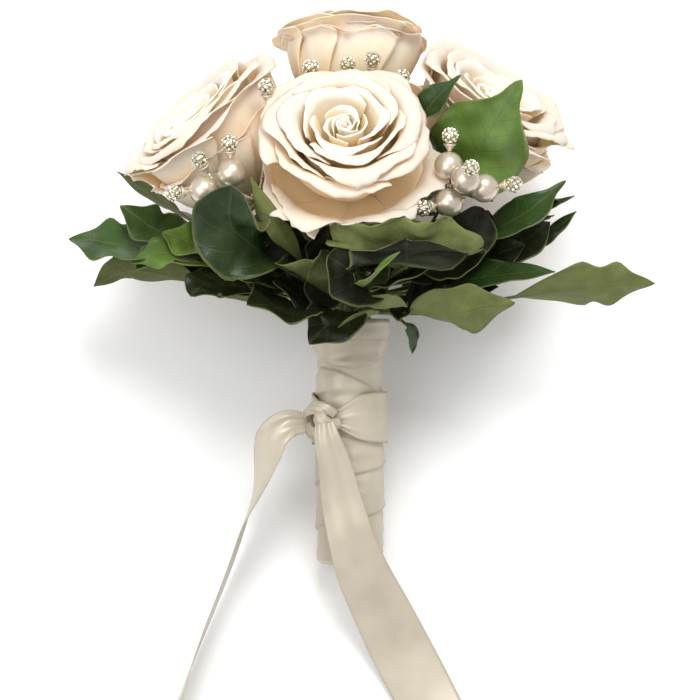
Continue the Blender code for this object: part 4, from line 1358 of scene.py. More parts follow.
@dataclass
class IvyBuilder:
    """Builds the sprigs of ivy from their roots on the neck."""

    root_radius: float = 9.35
    belly_share: float = 0.62
    stalk_half: float = 1.0
    # Rows of where along the blade a lobe swells the edge, over what length and how much.
    lobes: tuple[Point, ...] = ((0.28, 0.10, 0.20), (0.48, 0.08, -0.10), (0.64, 0.08, 0.08))
    columns: int = 17
    rows: int = 48
    far_root: float = 112.0
    blade_thickness: float = 0.42
    rib_thickness: float = 0.9
    over_table: float = 0.6
    table_margin: float = 3.6

    def root(self, turn: float, height: float) -> np.ndarray:
        """The place on the neck that stalks leave from."""
        return heading(turn, 0) * self.root_radius + np.array([0, 0, height])

    def line(self, root: np.ndarray, leaf: Leaf, along: np.ndarray) -> np.ndarray:
        """Points on the leaf's rib: one Bezier to its belly and one on to its tip.

        Args:
            root: where its stalk starts.
            leaf: its sizes.
            along: how far along, 0 at the root and 1 at the tip.

        Returns:
            The points, on a new last axis.
        """
        belly, tip = np.array(leaf.belly, float), np.array(leaf.tip, float)
        outward = unit(root * [1, 1, 0])
        reach = np.linalg.norm(belly - root)
        after = unit(tip - root)
        first = np.clip(along / self.belly_share, 0, 1)
        second = np.clip((along - self.belly_share) / (1 - self.belly_share), 0, 1)
        stalk = bezier(first, root, root + outward * reach * 0.3, belly - after * reach * 0.33, belly)
        rest = np.linalg.norm(tip - belly)
        blade = bezier(second, belly, belly + after * rest * 0.33, tip + (belly - tip) * 0.33, tip)
        return np.where((along < self.belly_share)[..., None], stalk, blade)

    def width(self, kind: Outline, share: np.ndarray, side: np.ndarray, phase: float) -> np.ndarray:
        """A leaf's half width along its blade, as a share of its widest.

        Args:
            kind: the edge's shape.
            share: how far along the blade, 0 to 1.
            side: -1 or 1, which edge.
            phase: shifts the edge's waves.

        Returns:
            The share of the leaf's half width.
        """
        share = np.clip(share, 0, 0.999)
        if kind is Outline.ROUND:
            edge = 1 + 0.03 * np.sin(15 * share + 3 * side + phase)
            return np.sin(np.pi * share**0.8) ** 0.55 * edge
        if kind is Outline.TAPERED:
            return np.sin(np.pi * share**0.7) ** 0.55 * (1 - 0.62 * ease(0.52, 0.86, share))
        width = np.sin(np.pi * share**0.72) ** 0.9
        if kind is Outline.LOBED:
            width = width * 0.90
            for middle, spread, gain in self.lobes:
                width = width * (1 + gain * hump(middle + 0.02 * side, spread, share))
        return width * (1 + 0.025 * np.sin(21 * share + 2 * side + phase))

    def blade(self, shell: Shell, root: np.ndarray, leaf: Leaf) -> None:
        """Adds one leaf: its rib's line widened to both sides, lifted at the edges and waved.

        Args:
            shell: the sprig that it belongs to.
            root: where its stalk starts.
            leaf: its sizes.
        """
        u, v = across_along(self.columns, self.rows)
        share = np.clip((v - leaf.stalk) / (1 - leaf.stalk), 0, 1)
        rib = self.line(root, leaf, v)
        ahead, behind = np.minimum(1, v + 0.02), np.maximum(0, v - 0.02)
        way = unit(self.line(root, leaf, ahead) - self.line(root, leaf, behind))
        rising = unit(np.array([0, 0, 1.0]) - way * way[..., 2:])
        looking = heading(*leaf.face)
        looking = unit(looking - way * dot(way, looking))
        turn = np.minimum(1, 0.25 + 2.2 * share)[..., None]
        mixed = rising + (looking - rising) * turn
        upper = np.where(dot(rising, looking) > -0.5, mixed, looking)
        upper = unit(upper - way * dot(upper, way))
        half = leaf.half * self.width(leaf.outline, share, np.sign(u), leaf.phase)
        half = np.where(v > leaf.stalk, half, 0)
        half = np.maximum(half, self.stalk_half * ease(0.45, 0.15, share) + 0.12)
        wave = np.sin(9.5 * share + leaf.phase + 1.2 * u)
        fine = 0.03 * np.sin(26 * share + 4 * u + leaf.phase) * np.abs(u) ** 3
        crease = 0.035 * half * (np.abs(u) ** 0.5 - 0.6)
        rumple = waves(share, (0.035, 11, 2.3 * u + 2 * leaf.phase), (0.02, 19, -5 * u))
        lift = (leaf.cup + leaf.wave * wave * np.minimum(1, 4 * share) + fine) * u**2 * half + crease
        lift = lift + rumple * half * np.minimum(1, 3 * share)
        lift = lift + leaf.ruffle * leaf.half * np.sin(10 * u * half / leaf.half + leaf.phase) * share**2
        swing = leaf.frill * half * np.abs(u) ** 3 * np.sin(17 * share + 3 * np.sign(u) + leaf.phase)
        side = np.cross(way, upper)
        points = rib + side * (u * (half + swing))[..., None] + upper * lift[..., None]
        points = points + way * (swing * 0.8)[..., None]
        points = BENCH.off_table(points, self.over_table, self.table_margin)
        length = np.linalg.norm(np.array(leaf.tip, float) - root)
        marks = {"off": u * half, "run": share * length * (1 - leaf.stalk), "share": share}
        thickness = self.blade_thickness + self.rib_thickness * hump(0, 0.07, u) * (1 - 0.7 * share)
        shell.add_sheet(points, thickness, tone=leaf.tone, edge=np.abs(u), **marks)

    def build(self, finishes: Finishes) -> None:
        """Builds every sprig and far leaf as a piece of its own.

        Args:
            finishes: the materials.
        """
        for sprig in SPRIGS:
            shell = Shell()
            for leaf in sprig.leaves + INNER_LEAVES.get(sprig.name, ()):
                self.blade(shell, self.root(sprig.turn, sprig.height), leaf)
            shell.piece(f"leaves_{sprig.name}", finishes.leaf, [f"sprig_{sprig.name}"])
        for number, far in enumerate(FAR_LEAVES, 1):
            shell = Shell()
            root = self.root(far.turn, self.far_root + (far.height - 133) * 0.7)
            for leaf in far.leaves():
                self.blade(shell, root, leaf)
            shell.piece(f"leaves_far_{number}", finishes.leaf, [f"sprig_far_{number}"])


# Stems


@dataclass
class StemBuilder:
    """Builds the bound stems: a bundle at the neck, and a branch, hip and sepals for each rose."""

    bottom: float = 3.0
    top: float = 128.0
    branch_root: float = 114.0
    branch_spread: float = 3.4
    branch_radius: float = 2.3
    bound_radius: float = 2.25
    sides: int = 12
    seat_gap: float = 0.35
    # Rows of radius and height over the hip's lower end.
    hip: tuple[tuple[float, float], ...] = (
        (1.6, -2.2), (2.4, -1), (4.2, 1.6), (5.3, 4.6), (5.3, 6.2), (4.2, 7.0), (1.0, 7.1),
    )
    hip_length: float = 7.0
    hip_sides: int = 20
    sepals_each: int = 5
    sepal_half: float = 3.4
    sepal_thickness: float = 0.5
    over_table: float = 0.5
    table_margin: float = 3.0
    # Rows of how many stems are bound round the axis, and at what radius.
    rounds: tuple[tuple[int, float], ...] = ((1, 0.0), (6, 4.6), (11, 8.2))

    def build(self, roses: RoseBuilder, finishes: Finishes) -> bpy.types.Object:
        """Builds the whole bundle as one piece.

        Args:
            roses: knows where each rose's base is.
            finishes: the materials.

        Returns:
            The finished piece.
        """
        shell = Shell()
        share = np.linspace(0, 1, 14)
        for count, radius in self.rounds:
            for number in range(count):
                way = heading(number * 360 / count + 11 * radius, 0)
                height = self.bottom + (self.top - 3 - radius * 0.5 - self.bottom) * share
                squeeze = 1.05 - 0.35 * ease(92, 112, height)
                level = np.stack([0 * height, 0 * height, height], axis=-1)
                shell.add_pipe(way * (radius * squeeze)[:, None] + level, self.bound_radius, self.sides)
        for rose in ROSES:
            axes, base = roses.frame(rose)
            look = unit(axes[2])
            waist = base - look * (self.seat_gap + self.hip_length)
            root = heading(rose.turn, 0) * self.branch_spread + [0, 0, self.branch_root]
            line = bezier(share, root, root + [0, 0, 14], waist - look * 12, waist)
            shell.add_pipe(line, self.branch_radius, self.sides)
            shell.add_turned(np.array(self.hip), self.hip_sides, waist, look)
            self.sepals(shell, rose, roses)
        return shell.piece("green_stems", finishes.stem, ["stem_bundle"])

    def sepals(self, shell: Shell, rose: Rose, roses: RoseBuilder) -> None:
        """Adds narrow sepals that leave the hip and hug the outer petals.

        Args:
            shell: the piece that they belong to.
            rose: the rose over them.
            roses: knows where the rose stands and what it is pressed against.
        """
        u, v = across_along(7, 16)
        axes, base = roses.frame(rose)
        walls = roses.walls(rose)
        for number in range(self.sepals_each):
            middle = np.radians(rose.spin + 18 + number * 360 / self.sepals_each)
            half = self.sepal_half * np.sin(np.pi * np.clip(0.12 + 0.88 * v, 0, 0.999) ** 0.8) ** 0.8
            out = 4.6 + 17.0 * v**0.9 + 0.5 * u**2
            up = -3.2 + 2.6 * v**2.2
            angle = middle + u * half / out
            points = np.stack([out * np.cos(angle), out * np.sin(angle), up], axis=-1)
            placed = roses.pressed_in(base + points @ axes, walls)
            placed = BENCH.off_table(placed, self.over_table, self.table_margin)
            shell.add_sheet(placed, self.sepal_thickness)


# Satin ribbon


@dataclass
class RibbonBuilder:
    """Builds the ribbon: the wound handle, the tie with its knot and the two tails."""

    width: float = 26.0
    wrap_top: float = 105.0
    # Rows of height and the handle's radius there.
    outline: tuple[tuple[float, float], ...] = (
        (0, 13.3), (1.6, 14.3), (30, 14.6), (62, 14.7), (88, 14.5), (98, 15.9), (105, 16.4),
    )
    pitch: float = 19.0
    # How far a turn's free edge stands out, and where the helix gives way to the collar.
    lap: float = 1.05
    helix_top: tuple[float, float] = (71.0, 76.0)
    # Rows of degrees round and height: the collar's lower edge, and the edge of the strip under it.
    collar: tuple[tuple[float, float], ...] = (
        (-150, 96), (-90, 93.3), (-60, 88.5), (-34, 84.8), (5, 83.8),
        (56, 87.4), (100, 92), (160, 96), (210, 96),
    )
    strip: tuple[tuple[float, float], ...] = (
        (-150, 66), (-100, 78), (-60, 84), (-23, 83), (20, 78), (59, 73), (120, 66), (210, 66),
    )
    strip_lift: float = 0.95
    collar_lift: float = 1.55
    # Where the last turn's upper hem lies, and how far it stands out.
    hem: float = 96.6
    hem_lift: float = 0.35
    # The sleeve's wall, how far its face is sunk, the heights where its outside and its inside
    # close over the foot, its grid, how many rows its inside keeps, and the ribbon's mm a degree.
    sleeve: float = 1.5
    sunk: float = 0.6
    foot: float = 0.25
    inner_foot: float = 2.3
    columns: int = 120
    rows: int = 200
    inside_rows: int = 195
    run_a_degree: float = 0.255
    knot_turn: float = -36.0
    knot_height: float = 62.0
    band_radius: float = 16.2
    tail_thickness: float = 0.35

    def radius(self, height: np.ndarray) -> np.ndarray:
        """The handle's radius at a height, between the outline's points."""
        return np.interp(height, *zip(*self.outline))

    def folds(self, turn: np.ndarray, height: np.ndarray) -> tuple[np.ndarray, np.ndarray]:
        """How far the wound ribbon's turns stand out, and how near the points are to their edges.

        Low on the handle each turn laps the last along a helix. Above the tie, the last
        turn hangs as a collar over a strip that crosses under it.

        Args:
            turn: degrees round the handle.
            height: height up the handle.

        Returns:
            Millimetres out from the handle, and 1 on an edge falling to 0 beside it.
        """
        winding = height / self.pitch - turn / 360
        frac = winding % 1
        below = ease(self.helix_top[1], self.helix_top[0], height)
        lapped = self.lap * (1 - frac) * ease(0.0, 0.05, frac) + 0.25 * hump(0.03, 0.03, frac)
        edge = hump(0.045, 0.02, frac) * below
        around = np.where(turn < -150, turn + 360, turn)
        collar = np.interp(around, *zip(*self.collar))
        strip = np.interp(around, *zip(*self.strip))
        over_strip = ease(0.5, -0.1, height - strip) * (1 - below)
        over_collar = ease(-0.1, 0.5, height - collar)
        level = lapped * below + self.strip_lift * over_strip * (1 - over_collar)
        level = level + self.collar_lift * over_collar
        level = level + self.hem_lift * ease(self.hem - 0.2, self.hem + 0.2, height)
        level = level - 0.25 * hump(self.hem, 0.3, height)
        for line in (collar, strip, self.hem + 0 * turn):
            edge = np.maximum(edge, hump(0.55, 0.35, np.abs(height - line)) * (1 - below))
        return level, edge

    def wound(self, finishes: Finishes) -> bpy.types.Object:
        """Builds the wound sleeve: the handle's radius, the ribbon's turns and soft puckers.

        Args:
            finishes: the materials.

        Returns:
            The finished piece.
        """
        round_it = np.linspace(-180, 180, self.columns, endpoint=False)
        turn, share = np.meshgrid(round_it, np.linspace(0, 1, self.rows))
        height = self.wrap_top * share
        angle = np.radians(turn)
        winding = height / self.pitch - turn / 360
        level, edge = self.folds(turn, height)
        pucker = waves(angle, (0.24, 3, winding * 2.2), (0.18, 7, winding * -5.1))
        pucker = pucker + waves(angle, (0.10, 2, winding * 21))
        pucker = pucker - 0.9 * hump(90.5, 3.2, height) * hump(8, 32, turn)
        pucker = pucker + 0.5 * hump(78, 4, height) * hump(-30, 20, turn)
        shown = ease(0, 3, height) * ease(106, 103, height)
        radius = self.radius(height) + (level + pucker) * shown - self.sunk
        outside = round_handle(angle, radius, height)
        inside = round_handle(angle, radius - self.sleeve, height)[::-1][: self.inside_rows]
        ends = [np.zeros_like(outside[:1]) + [0, 0, rise] for rise in (self.foot, self.inner_foot)]
        rings = np.concatenate([ends[0], outside, inside, ends[1]])
        blank = np.zeros((1, self.columns))

        def carried(values: np.ndarray) -> np.ndarray:
            """Values on the outside, carried on over the inside, in the rings' own order."""
            return np.concatenate([blank, values, values[::-1][: self.inside_rows], blank])[:, ::-1]

        off, run = carried((winding % 1) * self.width), carried(turn * self.run_a_degree)
        shell = Shell()
        shell.add_tube(rings[:, ::-1], off=off, run=run, edge=0.9 + 0.1 * carried(edge))
        return shell.piece("satin_wrap", finishes.satin, ["ribbon_wrap"])

    def strap(
        self, shell: Shell, stations: Sequence[Sequence[float]], thickness: float = 0.5, rows: int = 70
    ) -> None:
        """Adds a ribbon laid round the handle.

        Args:
            shell: the piece that it belongs to.
            stations: degrees round, height, half width and radius, at equal steps.
            thickness: the ribbon's.
            rows: how many steps along it.
        """
        u, v = across_along(21, rows)
        values = through(np.array(stations), v)
        turn, height, half, radius = (values[..., k] for k in range(4))
        pleat = (1 - half / 12.5) * waves(u, (0.7, 9, 1), (0.4, 17, 0))
        rim = 0.25 * hump(1, 0.12, np.abs(u))
        level = radius + np.maximum(0, pleat) + rim - 0.35 * u**2
        angle = np.radians(turn)
        points = round_handle(angle, level, height + u * half)
        shell.add_sheet(points[:, ::-1], thickness, off=u * half, run=angle * radius, edge=np.abs(u))

    def strand(self, shell: Shell, stations: Sequence[Sequence[float]], pleats: int = 5) -> None:
        """Adds a gathered strand of the knot: an oval tube with pleats along it.

        Args:
            shell: the piece that it belongs to.
            stations: x, y, z, half width, half thickness and twist in degrees, at equal steps.
            pleats: how many folds run along it.
        """
        share = np.linspace(0, 1, 48)
        values = through(np.array(stations, float), share)
        line, wide, thick = values[:, :3], values[:, 3:4], values[:, 4:5]
        twist = np.radians(values[:, 5:])
        way, side, face = frames_along(line, unit(line * [1, 1, 0]))
        turned_side = side * np.cos(twist) + face * np.sin(twist)
        turned_face = np.cross(turned_side, way)
        angle = -np.linspace(0, 2 * np.pi, 40, endpoint=False)[None]
        fold = 1 + waves(angle, (0.10, pleats, 3 * share[:, None]), (0.05, 2.6 * pleats, 0))
        x, y = np.cos(angle) * wide * fold, np.sin(angle) * thick * fold
        rings = line[:, None] + turned_side[:, None] * x[..., None] + turned_face[:, None] * y[..., None]
        shell.add_tube(rings, off=angle * 4, run=share[:, None] * 30, edge=0.0)

    def tie(self, finishes: Finishes) -> bpy.types.Object:
        """Builds the tied band and the three gathered strands of the knot.

        Args:
            finishes: the materials.

        Returns:
            The finished piece.
        """
        shell = Shell()
        k, z, r = self.knot_turn, self.knot_height, self.band_radius
        band = [(k + 8, z, 3.4, r + 1.0), (k + 24, z + 0.5, 5.0, r + 0.4), (k + 52, z + 1, 9.5, r + 0.1)]
        band += [(k + 52 + 51 * step, z + 1 - 0.2 * step, 11.0, r) for step in range(1, 6)]
        band += [(k + 340, z, 8.0, r + 0.2), (k + 352, z, 4.0, r + 0.9)]
        self.strap(shell, band, 0.8, 150)
        c = heading(k, 0) * (r + 3.0) + np.array([0, 0, z])
        right, out, up = heading(k + 90, 0), heading(k, 0), np.array([0, 0, 1.0])

        def spot(x: float, y: float, height: float) -> np.ndarray:
            """A place near the knot: to the right, out from the handle and up."""
            return c + right * x + out * y + up * height

        def route(*rows: Sequence[float]) -> list[list[float]]:
            """Stations of a strand from places near the knot and their sizes."""
            return [[*spot(*row[:3]), *row[3:]] for row in rows]

        self.strand(shell, route(
            (-5.5, -3.5, -4.0, 2.2, 1.2, 0), (-7.6, 0.5, -1.0, 2.6, 1.6, 20),
            (-6.4, 2.6, 2.8, 2.8, 1.8, 40), (-1.6, 4.2, 5.2, 3.0, 1.8, 30),
            (3.4, 3.4, 4.6, 2.8, 1.6, 10), (6.2, 0.4, 2.2, 2.2, 1.2, 0),
        ))
        self.strand(shell, route(
            (-6.8, -1.0, 2.0, 2.0, 1.2, 0), (-6.6, 1.8, -2.6, 2.6, 1.6, 0),
            (-2.6, 3.4, -5.6, 2.8, 1.6, 0), (2.6, 2.6, -4.6, 2.4, 1.4, 0), (4.8, 0.0, -1.6, 2.0, 1.2, 0),
        ))
        self.strand(shell, route(
            (0.4, 1.0, 4.6, 2.2, 1.2, 0), (1.6, 4.6, 2.6, 3.0, 1.7, 0), (3.4, 5.4, -0.4, 3.2, 1.8, 0),
            (6.2, 3.2, -1.8, 2.6, 1.5, 0), (8.2, -0.4, -0.6, 2.0, 1.0, 0),
        ))
        return shell.piece("satin_tie", finishes.satin, ["ribbon_tie"])

    def tail(
        self, name: str, stations: Sequence[tuple[Point, float, float]], finishes: Finishes
    ) -> None:
        """Builds a loose tail: its middle line widened to both sides, with a slight cup.

        Args:
            name: the tail's name after ribbon_tail_.
            stations: across, height over the table and up the bouquet, then half the
                width and how far its face has turned.
            finishes: the materials.
        """
        rows = [
            (x, BENCH.depth(np.array(up), np.array(height)), up, half, turn)
            for (x, height, up), half, turn in stations
        ]
        u, v = across_along(25, 150)
        values = through(np.array(rows, float), v[:, 0])
        line, half, turn = values[:, :3], values[:, 3:4], np.radians(values[:, 4:])
        way, _, face = frames_along(line, BENCH.up)
        tipped = face * np.cos(turn) + np.cross(way, face) * np.sin(turn)
        side = np.cross(way, tipped)
        run = gone(line)[:, None]
        gather = np.clip(1 - half / 12.9, 0, 1)
        lift = waves(u, (0.9 * gather, 7, 0.6), (0.25 * (1 - gather), 2.4, run * 0.06))
        points = line[:, None] + side[:, None] * (u * half)[..., None] + tipped[:, None] * lift[..., None]
        shell = Shell()
        off, edge = (u * half)[:, ::-1], np.abs(u)[:, ::-1]
        shell.add_sheet(points[:, ::-1], self.tail_thickness, off=off, run=run, edge=edge)
        made = shell.piece(f"satin_tail_{name}", finishes.satin, [f"ribbon_tail_{name}"])
        lengths = np.linalg.norm(np.diff(points, axis=0), axis=2).mean(axis=1)
        widths = np.linalg.norm(np.diff(points, axis=1), axis=2).sum(axis=1)
        area = float(np.sum(lengths * (widths[1:] + widths[:-1]) / 2))
        length = float(lengths.sum())
        flat = (max(self.width, area / length) * MM, length * MM)
        area = min(area * MM * MM, flat[0] * flat[1])

    def build(self, finishes: Finishes) -> None:
        """Builds all the ribbon's pieces.

        Args:
            finishes: the materials.
        """
        self.wound(finishes)
        self.tie(finishes)
        self.tail("front", FRONT_TAIL, finishes)
        self.tail("side", SIDE_TAIL, finishes)


FRONT_TAIL = (
    ((-10.5, 55.9, 61), 4.0, 0),
    ((-9.5, 54.6, 54), 5.5, 0),
    ((-6.5, 48, 43), 7.0, 0),
    ((-3.5, 39.5, 28), 8.6, 0),
    ((0.5, 33.5, 12), 9.8, 0),
    ((5.5, 25, -3), 11.2, 0),
    ((13.5, 13.5, -20), 12.4, 0),
    ((22, 5.5, -37), 13.0, 0),
    ((31, 1.8, -54), 13.0, 0),
    ((40, 1.0, -72), 13.0, 0),
    ((48, 1.0, -90), 13.0, 0),
)
SIDE_TAIL = (
    ((-19.6, 51.6, 61), 4.6, 0),
    ((-26.0, 54.6, 60.5), 6.3, 4),
    ((-32, 54, 56), 8.0, 24),
    ((-35.5, 49, 48), 10.0, 44),
    ((-38.5, 42, 39), 12.0, 62),
    ((-41.5, 34, 29), 13.0, 76),
    ((-44.5, 27, 19), 13.0, 84),
    ((-50, 18.5, 2), 13.0, 86),
    ((-56.5, 15.5, -15), 13.0, 86),
    ((-63.5, 14.2, -32), 13.0, 85),
    ((-70, 13.8, -50), 13.0, 81),
    ((-76, 13.4, -66), 13.0, 74),
    ((-80, 12.0, -82), 13.0, 58),
)


# Pearl picks


@dataclass(frozen=True)
class Pick:
    """One pick: its pearl's place, the way its head points and whether it has a pearl."""

    place: Point
    aim: tuple[float, float]
    pearl: bool


@dataclass(frozen=True)
class Spray:
    """Picks on one stem: its root on the neck, where its wires part, and its picks."""

    name: str
    turn: float
    height: float
    hub: Point
    picks: tuple[Pick, ...]


SPRAYS = (
    Spray("right", 49, 122, (32, -34, 158), (
        Pick((40.5, -52, 167), (10, 78), True),
        Pick((47, -60, 161), (8, 18), True),
        Pick((55, -52, 158), (78, 6), True),
        Pick((40.5, -52, 152), (-62, -12), True),
    )),
    Spray("left", -50, 121, (-38, -40, 155), (
        Pick((-48.5, -52, 164), (-14, 76), True),
        Pick((-60, -52, 157), (-78, -6), True),
        Pick((-55.5, -48, 160), (-50, 50), False),
        Pick((-34, -46, 188), (-5, 70), False),
    )),
    Spray("top", -22, 121, (-9, -12, 170), (
        Pick((-16, -25, 199), (-4, 60), False),
        Pick((-1, -25, 200), (0, 62), False),
        Pick((9, -26, 202), (4, 62), False),
        Pick((20, -27, 195), (14, 56), False),
    )),
)


@dataclass
class PickBuilder:
    """Builds the pearls, the heads of small stones and the wires that carry them."""

    pearl_radius: float = 6.0
    bore: float = 0.9
    wire_radius: float = 0.55
    stem_radius: float = 0.825
    neck_radius: float = 8.6
    seat_gap: float = 0.35
    cone_start: float = 6.4
    cone_end: float = 9.2
    cone_radius: float = 2.7
    head_radius: float = 3.0
    head_gap: float = 0.3
    # How far before the pearl's middle a wire stops bending.
    straight: float = 7.5
    cap_sides: int = 20
    wire_sides: int = 10
    pearl_steps: int = 26
    pearl_sides: int = 40
    bore_steps: int = 6
    # The ball under the stones is this much smaller than the head.
    ball_inset: float = 0.35
    stones: int = 34
    stone_sides: int = 8
    # Rows of radius and height of a cut stone, from its point to its table.
    cut: tuple[tuple[float, float], ...] = ((0.35, -0.75), (1.0, -0.15), (1.0, 0.0), (0.55, 0.42))

    def pearl(self, name: str, place: np.ndarray, way: np.ndarray, finishes: Finishes) -> None:
        """Builds a bored pearl: a circle's arc from one mouth of the bore to the other.

        Args:
            name: the pearl's name after pearl_.
            place: its middle.
            way: the way that its bore runs.
            finishes: the materials.
        """
        opening = math.asin(self.bore / self.pearl_radius)
        angle = np.pi - np.linspace(opening, np.pi - opening, self.pearl_steps)
        ball = np.stack([np.sin(angle), np.cos(angle)], axis=-1) * self.pearl_radius
        through_it = np.linspace(ball[-1, 1], ball[0, 1], self.bore_steps)
        bore = np.stack([np.full(self.bore_steps, self.bore * 0.75), through_it], axis=-1)
        shell = Shell()
        shell.add_ring(turned_rings(np.concatenate([ball, bore]), self.pearl_sides, place, way))
        shell.piece(f"bead_{name}", finishes.pearl, [f"pearl_{name}"])

    def head(self, name: str, middle: np.ndarray, finishes: Finishes, seed: int) -> None:
        """Builds a ball of cut stones, spread over it by the golden angle.

        Args:
            name: the head's name after crystal_.
            middle: the ball's middle.
            finishes: the materials.
            seed: starts its own random numbers.
        """
        draw = np.random.default_rng(seed)
        shell = Shell()
        u, v = np.meshgrid(
            np.linspace(0, 2 * np.pi, 16, endpoint=False), np.linspace(0, np.pi, 10)[1:-1]
        )
        ball = np.stack([np.sin(v) * np.cos(u), np.sin(v) * np.sin(u), np.cos(v)], axis=-1)
        shell.add_tube(middle + ball[:, ::-1] * (self.head_radius - self.ball_inset), spark=0.0)
        order = np.arange(self.stones)
        rise = 1 - 2 * (order + 0.5) / self.stones
        angle = order * math.pi * (3 - math.sqrt(5)) + draw.uniform(0, 6)
        level = np.sqrt(1 - rise**2)
        spin = np.linspace(0, 2 * np.pi, self.stone_sides, endpoint=False)[:, None]
        for way in np.stack([level * np.cos(angle), level * np.sin(angle), rise], axis=-1):
            size = draw.uniform(0.78, 1.0)
            side = unit(np.cross(way, draw.normal(size=3)))
            ring = np.cos(spin) * side + np.sin(spin) * np.cross(way, side)
            rings = []
            for radius, height in self.cut:
                foot = middle + way * (self.head_radius + 0.15 + height * size * 0.95)
                rings.append(foot + ring * radius * size * 0.9)
            self.facets(shell, np.array(rings), draw)
        made = shell.piece(f"stones_{name}", finishes.stone, [f"crystal_{name}"])
        made.data.set_sharp_from_angle(angle=math.radians(12))

    def facets(self, shell: Shell, rings: np.ndarray, draw: np.random.Generator) -> None:
        """Adds one cut stone whose facets each have corners and a spark of their own.

        Args:
            shell: the head that it belongs to.
            rings: the stone's rings of corners, by 3.
            draw: where the sparks come from.
        """
        sides = rings.shape[1]
        after = np.roll(rings, -1, axis=1)
        points = np.stack([rings[:-1], after[:-1], after[1:], rings[1:]], axis=2).reshape(-1, 3)
        faces = np.arange(len(points)).reshape(-1, 4)
        base = len(points)
        points = np.concatenate([points, rings[0], rings[-1]])
        caps = np.array([np.arange(sides)[::-1] + base, np.arange(sides) + base + sides])
        spark = np.repeat(draw.uniform(0, 1, len(faces)), 4)
        table = np.full(sides, draw.uniform(0.5, 1))
        shell.add(points, [faces, caps], spark=np.concatenate([spark, np.zeros(sides), table]))

    def wires(self, spray: Spray, finishes: Finishes) -> None:
        """Builds a spray's stem, its wires and the turned cap under each head.

        Args:
            spray: its picks and where they leave from.
            finishes: the materials.
        """
        shell = Shell()
        away = self.neck_radius + self.seat_gap + self.stem_radius
        root = heading(spray.turn, 0) * away + [0, 0, spray.height]
        hub = np.array(spray.hub, float)
        share = np.linspace(0, 1, 24)
        stem = bezier(share, root, root + [0, 0, 10], hub - [0, 0, 10], hub)
        shell.add_pipe(stem, self.stem_radius, self.wire_sides, run=gone(stem)[:, None])
        cap = [[self.wire_radius, self.cone_start - 0.8], [self.wire_radius * 1.5, self.cone_start]]
        cap += [[1.5, 7.4], [2.2, 8.4], [self.cone_radius, self.cone_end - 0.2]]
        cap += [[self.cone_radius - 0.3, self.cone_end]]
        for pick in spray.picks:
            place, aim = np.array(pick.place, float), heading(*pick.aim)
            start = hub - [0, 0, 1.5]
            bent = place - aim * self.straight
            line = bezier(share, start, start + (bent - start) * 0.4, bent - aim * 3, bent)
            line = np.concatenate([line, [place, place + aim * (self.cone_start + 1)]])
            shell.add_pipe(line, self.wire_radius, self.wire_sides, run=gone(line)[:, None])
            shell.add_turned(np.array(cap), self.cap_sides, place, aim, run=0.0)
        shell.piece(f"wires_{spray.name}", finishes.wire, [f"pick_wires_{spray.name}"])

    def build(self, finishes: Finishes) -> None:
        """Builds every spray: its wires, its pearls and its heads.

        Args:
            finishes: the materials.
        """
        away = self.cone_end + self.head_gap + self.head_radius
        for spray in SPRAYS:
            self.wires(spray, finishes)
            for number, pick in enumerate(spray.picks, 1):
                name = f"{spray.name}_{number}"
                place, aim = np.array(pick.place, float), heading(*pick.aim)
                if pick.pearl:
                    self.pearl(name, place, aim, finishes)
                self.head(name, place + aim * away, finishes, HEAD_SEED + number)


# Floor, light and camera


@dataclass(frozen=True)
class Lamp:
    """A square area lamp: its watts, its side, its place and what it looks at, in metres."""

    name: str
    power: float
    size: float
    place: Point
    target: Point


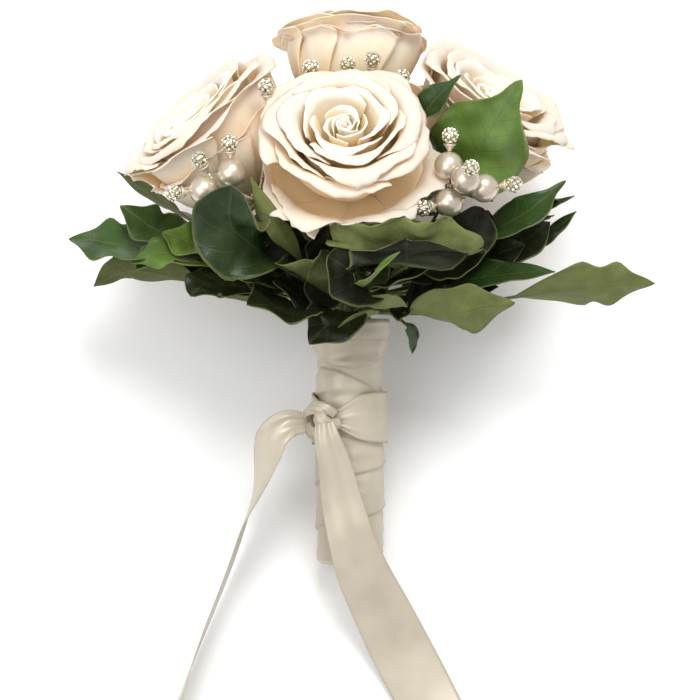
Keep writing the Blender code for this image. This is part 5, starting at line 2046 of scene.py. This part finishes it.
@dataclass
class Studio:
    """A pale floor, soft light from above the dome and the photograph's camera."""

    floor_size: float = 6.0
    floor_drop: float = 0.0002
    lamps: tuple[Lamp, ...] = (
        Lamp("key", 12.5, 0.6, (0.16, 0.52, 1.27), (0, 0.08, 0.06)),
        Lamp("fill", 5.5, 1.0, (-0.55, -0.25, 1.00), (0, 0.05, 0.05)),
    )
    world_strength: float = 0.66
    sensor: float = 36.0

    def floor(self) -> None:
        """Lays a plain pale floor."""
        bpy.ops.mesh.primitive_plane_add(size=self.floor_size, location=(0, 0, -self.floor_drop))
        plane = bpy.context.object
        plane.name = "floor"
        paint = Paint("pale_floor")
        paint.set(base_color=(0.93, 0.93, 0.93), roughness=0.9, specular_ior_level=0.1)
        plane.data.materials.append(paint.material)

    def hang(self, lamp: Lamp) -> None:
        """Hangs a lamp.

        Args:
            lamp: its power, size and place.
        """
        light = bpy.data.lights.new(lamp.name, "AREA")
        light.shape = "SQUARE"
        light.size = lamp.size
        light.energy = lamp.power
        made = bpy.data.objects.new(lamp.name, light)
        bpy.context.scene.collection.objects.link(made)
        made.location = lamp.place
        way = Vector(lamp.target) - Vector(lamp.place)
        made.rotation_euler = way.to_track_quat("-Z", "Y").to_euler()

    def camera(self) -> None:
        """Sets the camera square to the handle's axis, at the photograph's distance."""
        target = Vector(BENCH.laid(np.array([0.0, 0.0, BENCH.view_height])))
        back = Vector((0, -math.sin(BENCH.lean), math.cos(BENCH.lean)))
        up = Vector((0, math.cos(BENCH.lean), math.sin(BENCH.lean)))
        lens = bpy.data.cameras.new("camera")
        lens.sensor_width = self.sensor
        lens.lens = self.sensor * BENCH.view_distance / BENCH.view_width
        lens.clip_end = 20.0
        made = bpy.data.objects.new("camera", lens)
        bpy.context.scene.collection.objects.link(made)
        turn = Matrix((up.cross(back), up, back)).transposed().to_4x4()
        made.matrix_world = Matrix.Translation(target + back * BENCH.view_distance * MM) @ turn
        bpy.context.scene.camera = made

    def build(self) -> None:
        """Sets up the whole studio."""
        self.floor()
        for lamp in self.lamps:
            self.hang(lamp)
        world = bpy.data.worlds.new("studio")
        bpy.context.scene.world = world
        world.use_nodes = True
        background = world.node_tree.nodes["Background"]
        background.inputs["Color"].default_value = (1.0, 1.0, 1.0, 1.0)
        background.inputs["Strength"].default_value = self.world_strength
        bpy.context.scene.view_settings.view_transform = "Standard"
        self.camera()


def main() -> None:
    """Builds the bouquet and the studio round it."""
    logging.basicConfig(level=logging.INFO, format="%(message)s")
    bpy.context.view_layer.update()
    studio = Studio()
    studio.build()
    finishes = Finishes()
    roses = RoseBuilder()
    for number, rose in enumerate(ROSES):
        roses.build(rose, finishes, ROSE_SEED + number)
    StemBuilder().build(roses, finishes)
    IvyBuilder().build(finishes)
    PickBuilder().build(finishes)
    RibbonBuilder().build(finishes)


if __name__ == "__main__":
    main()
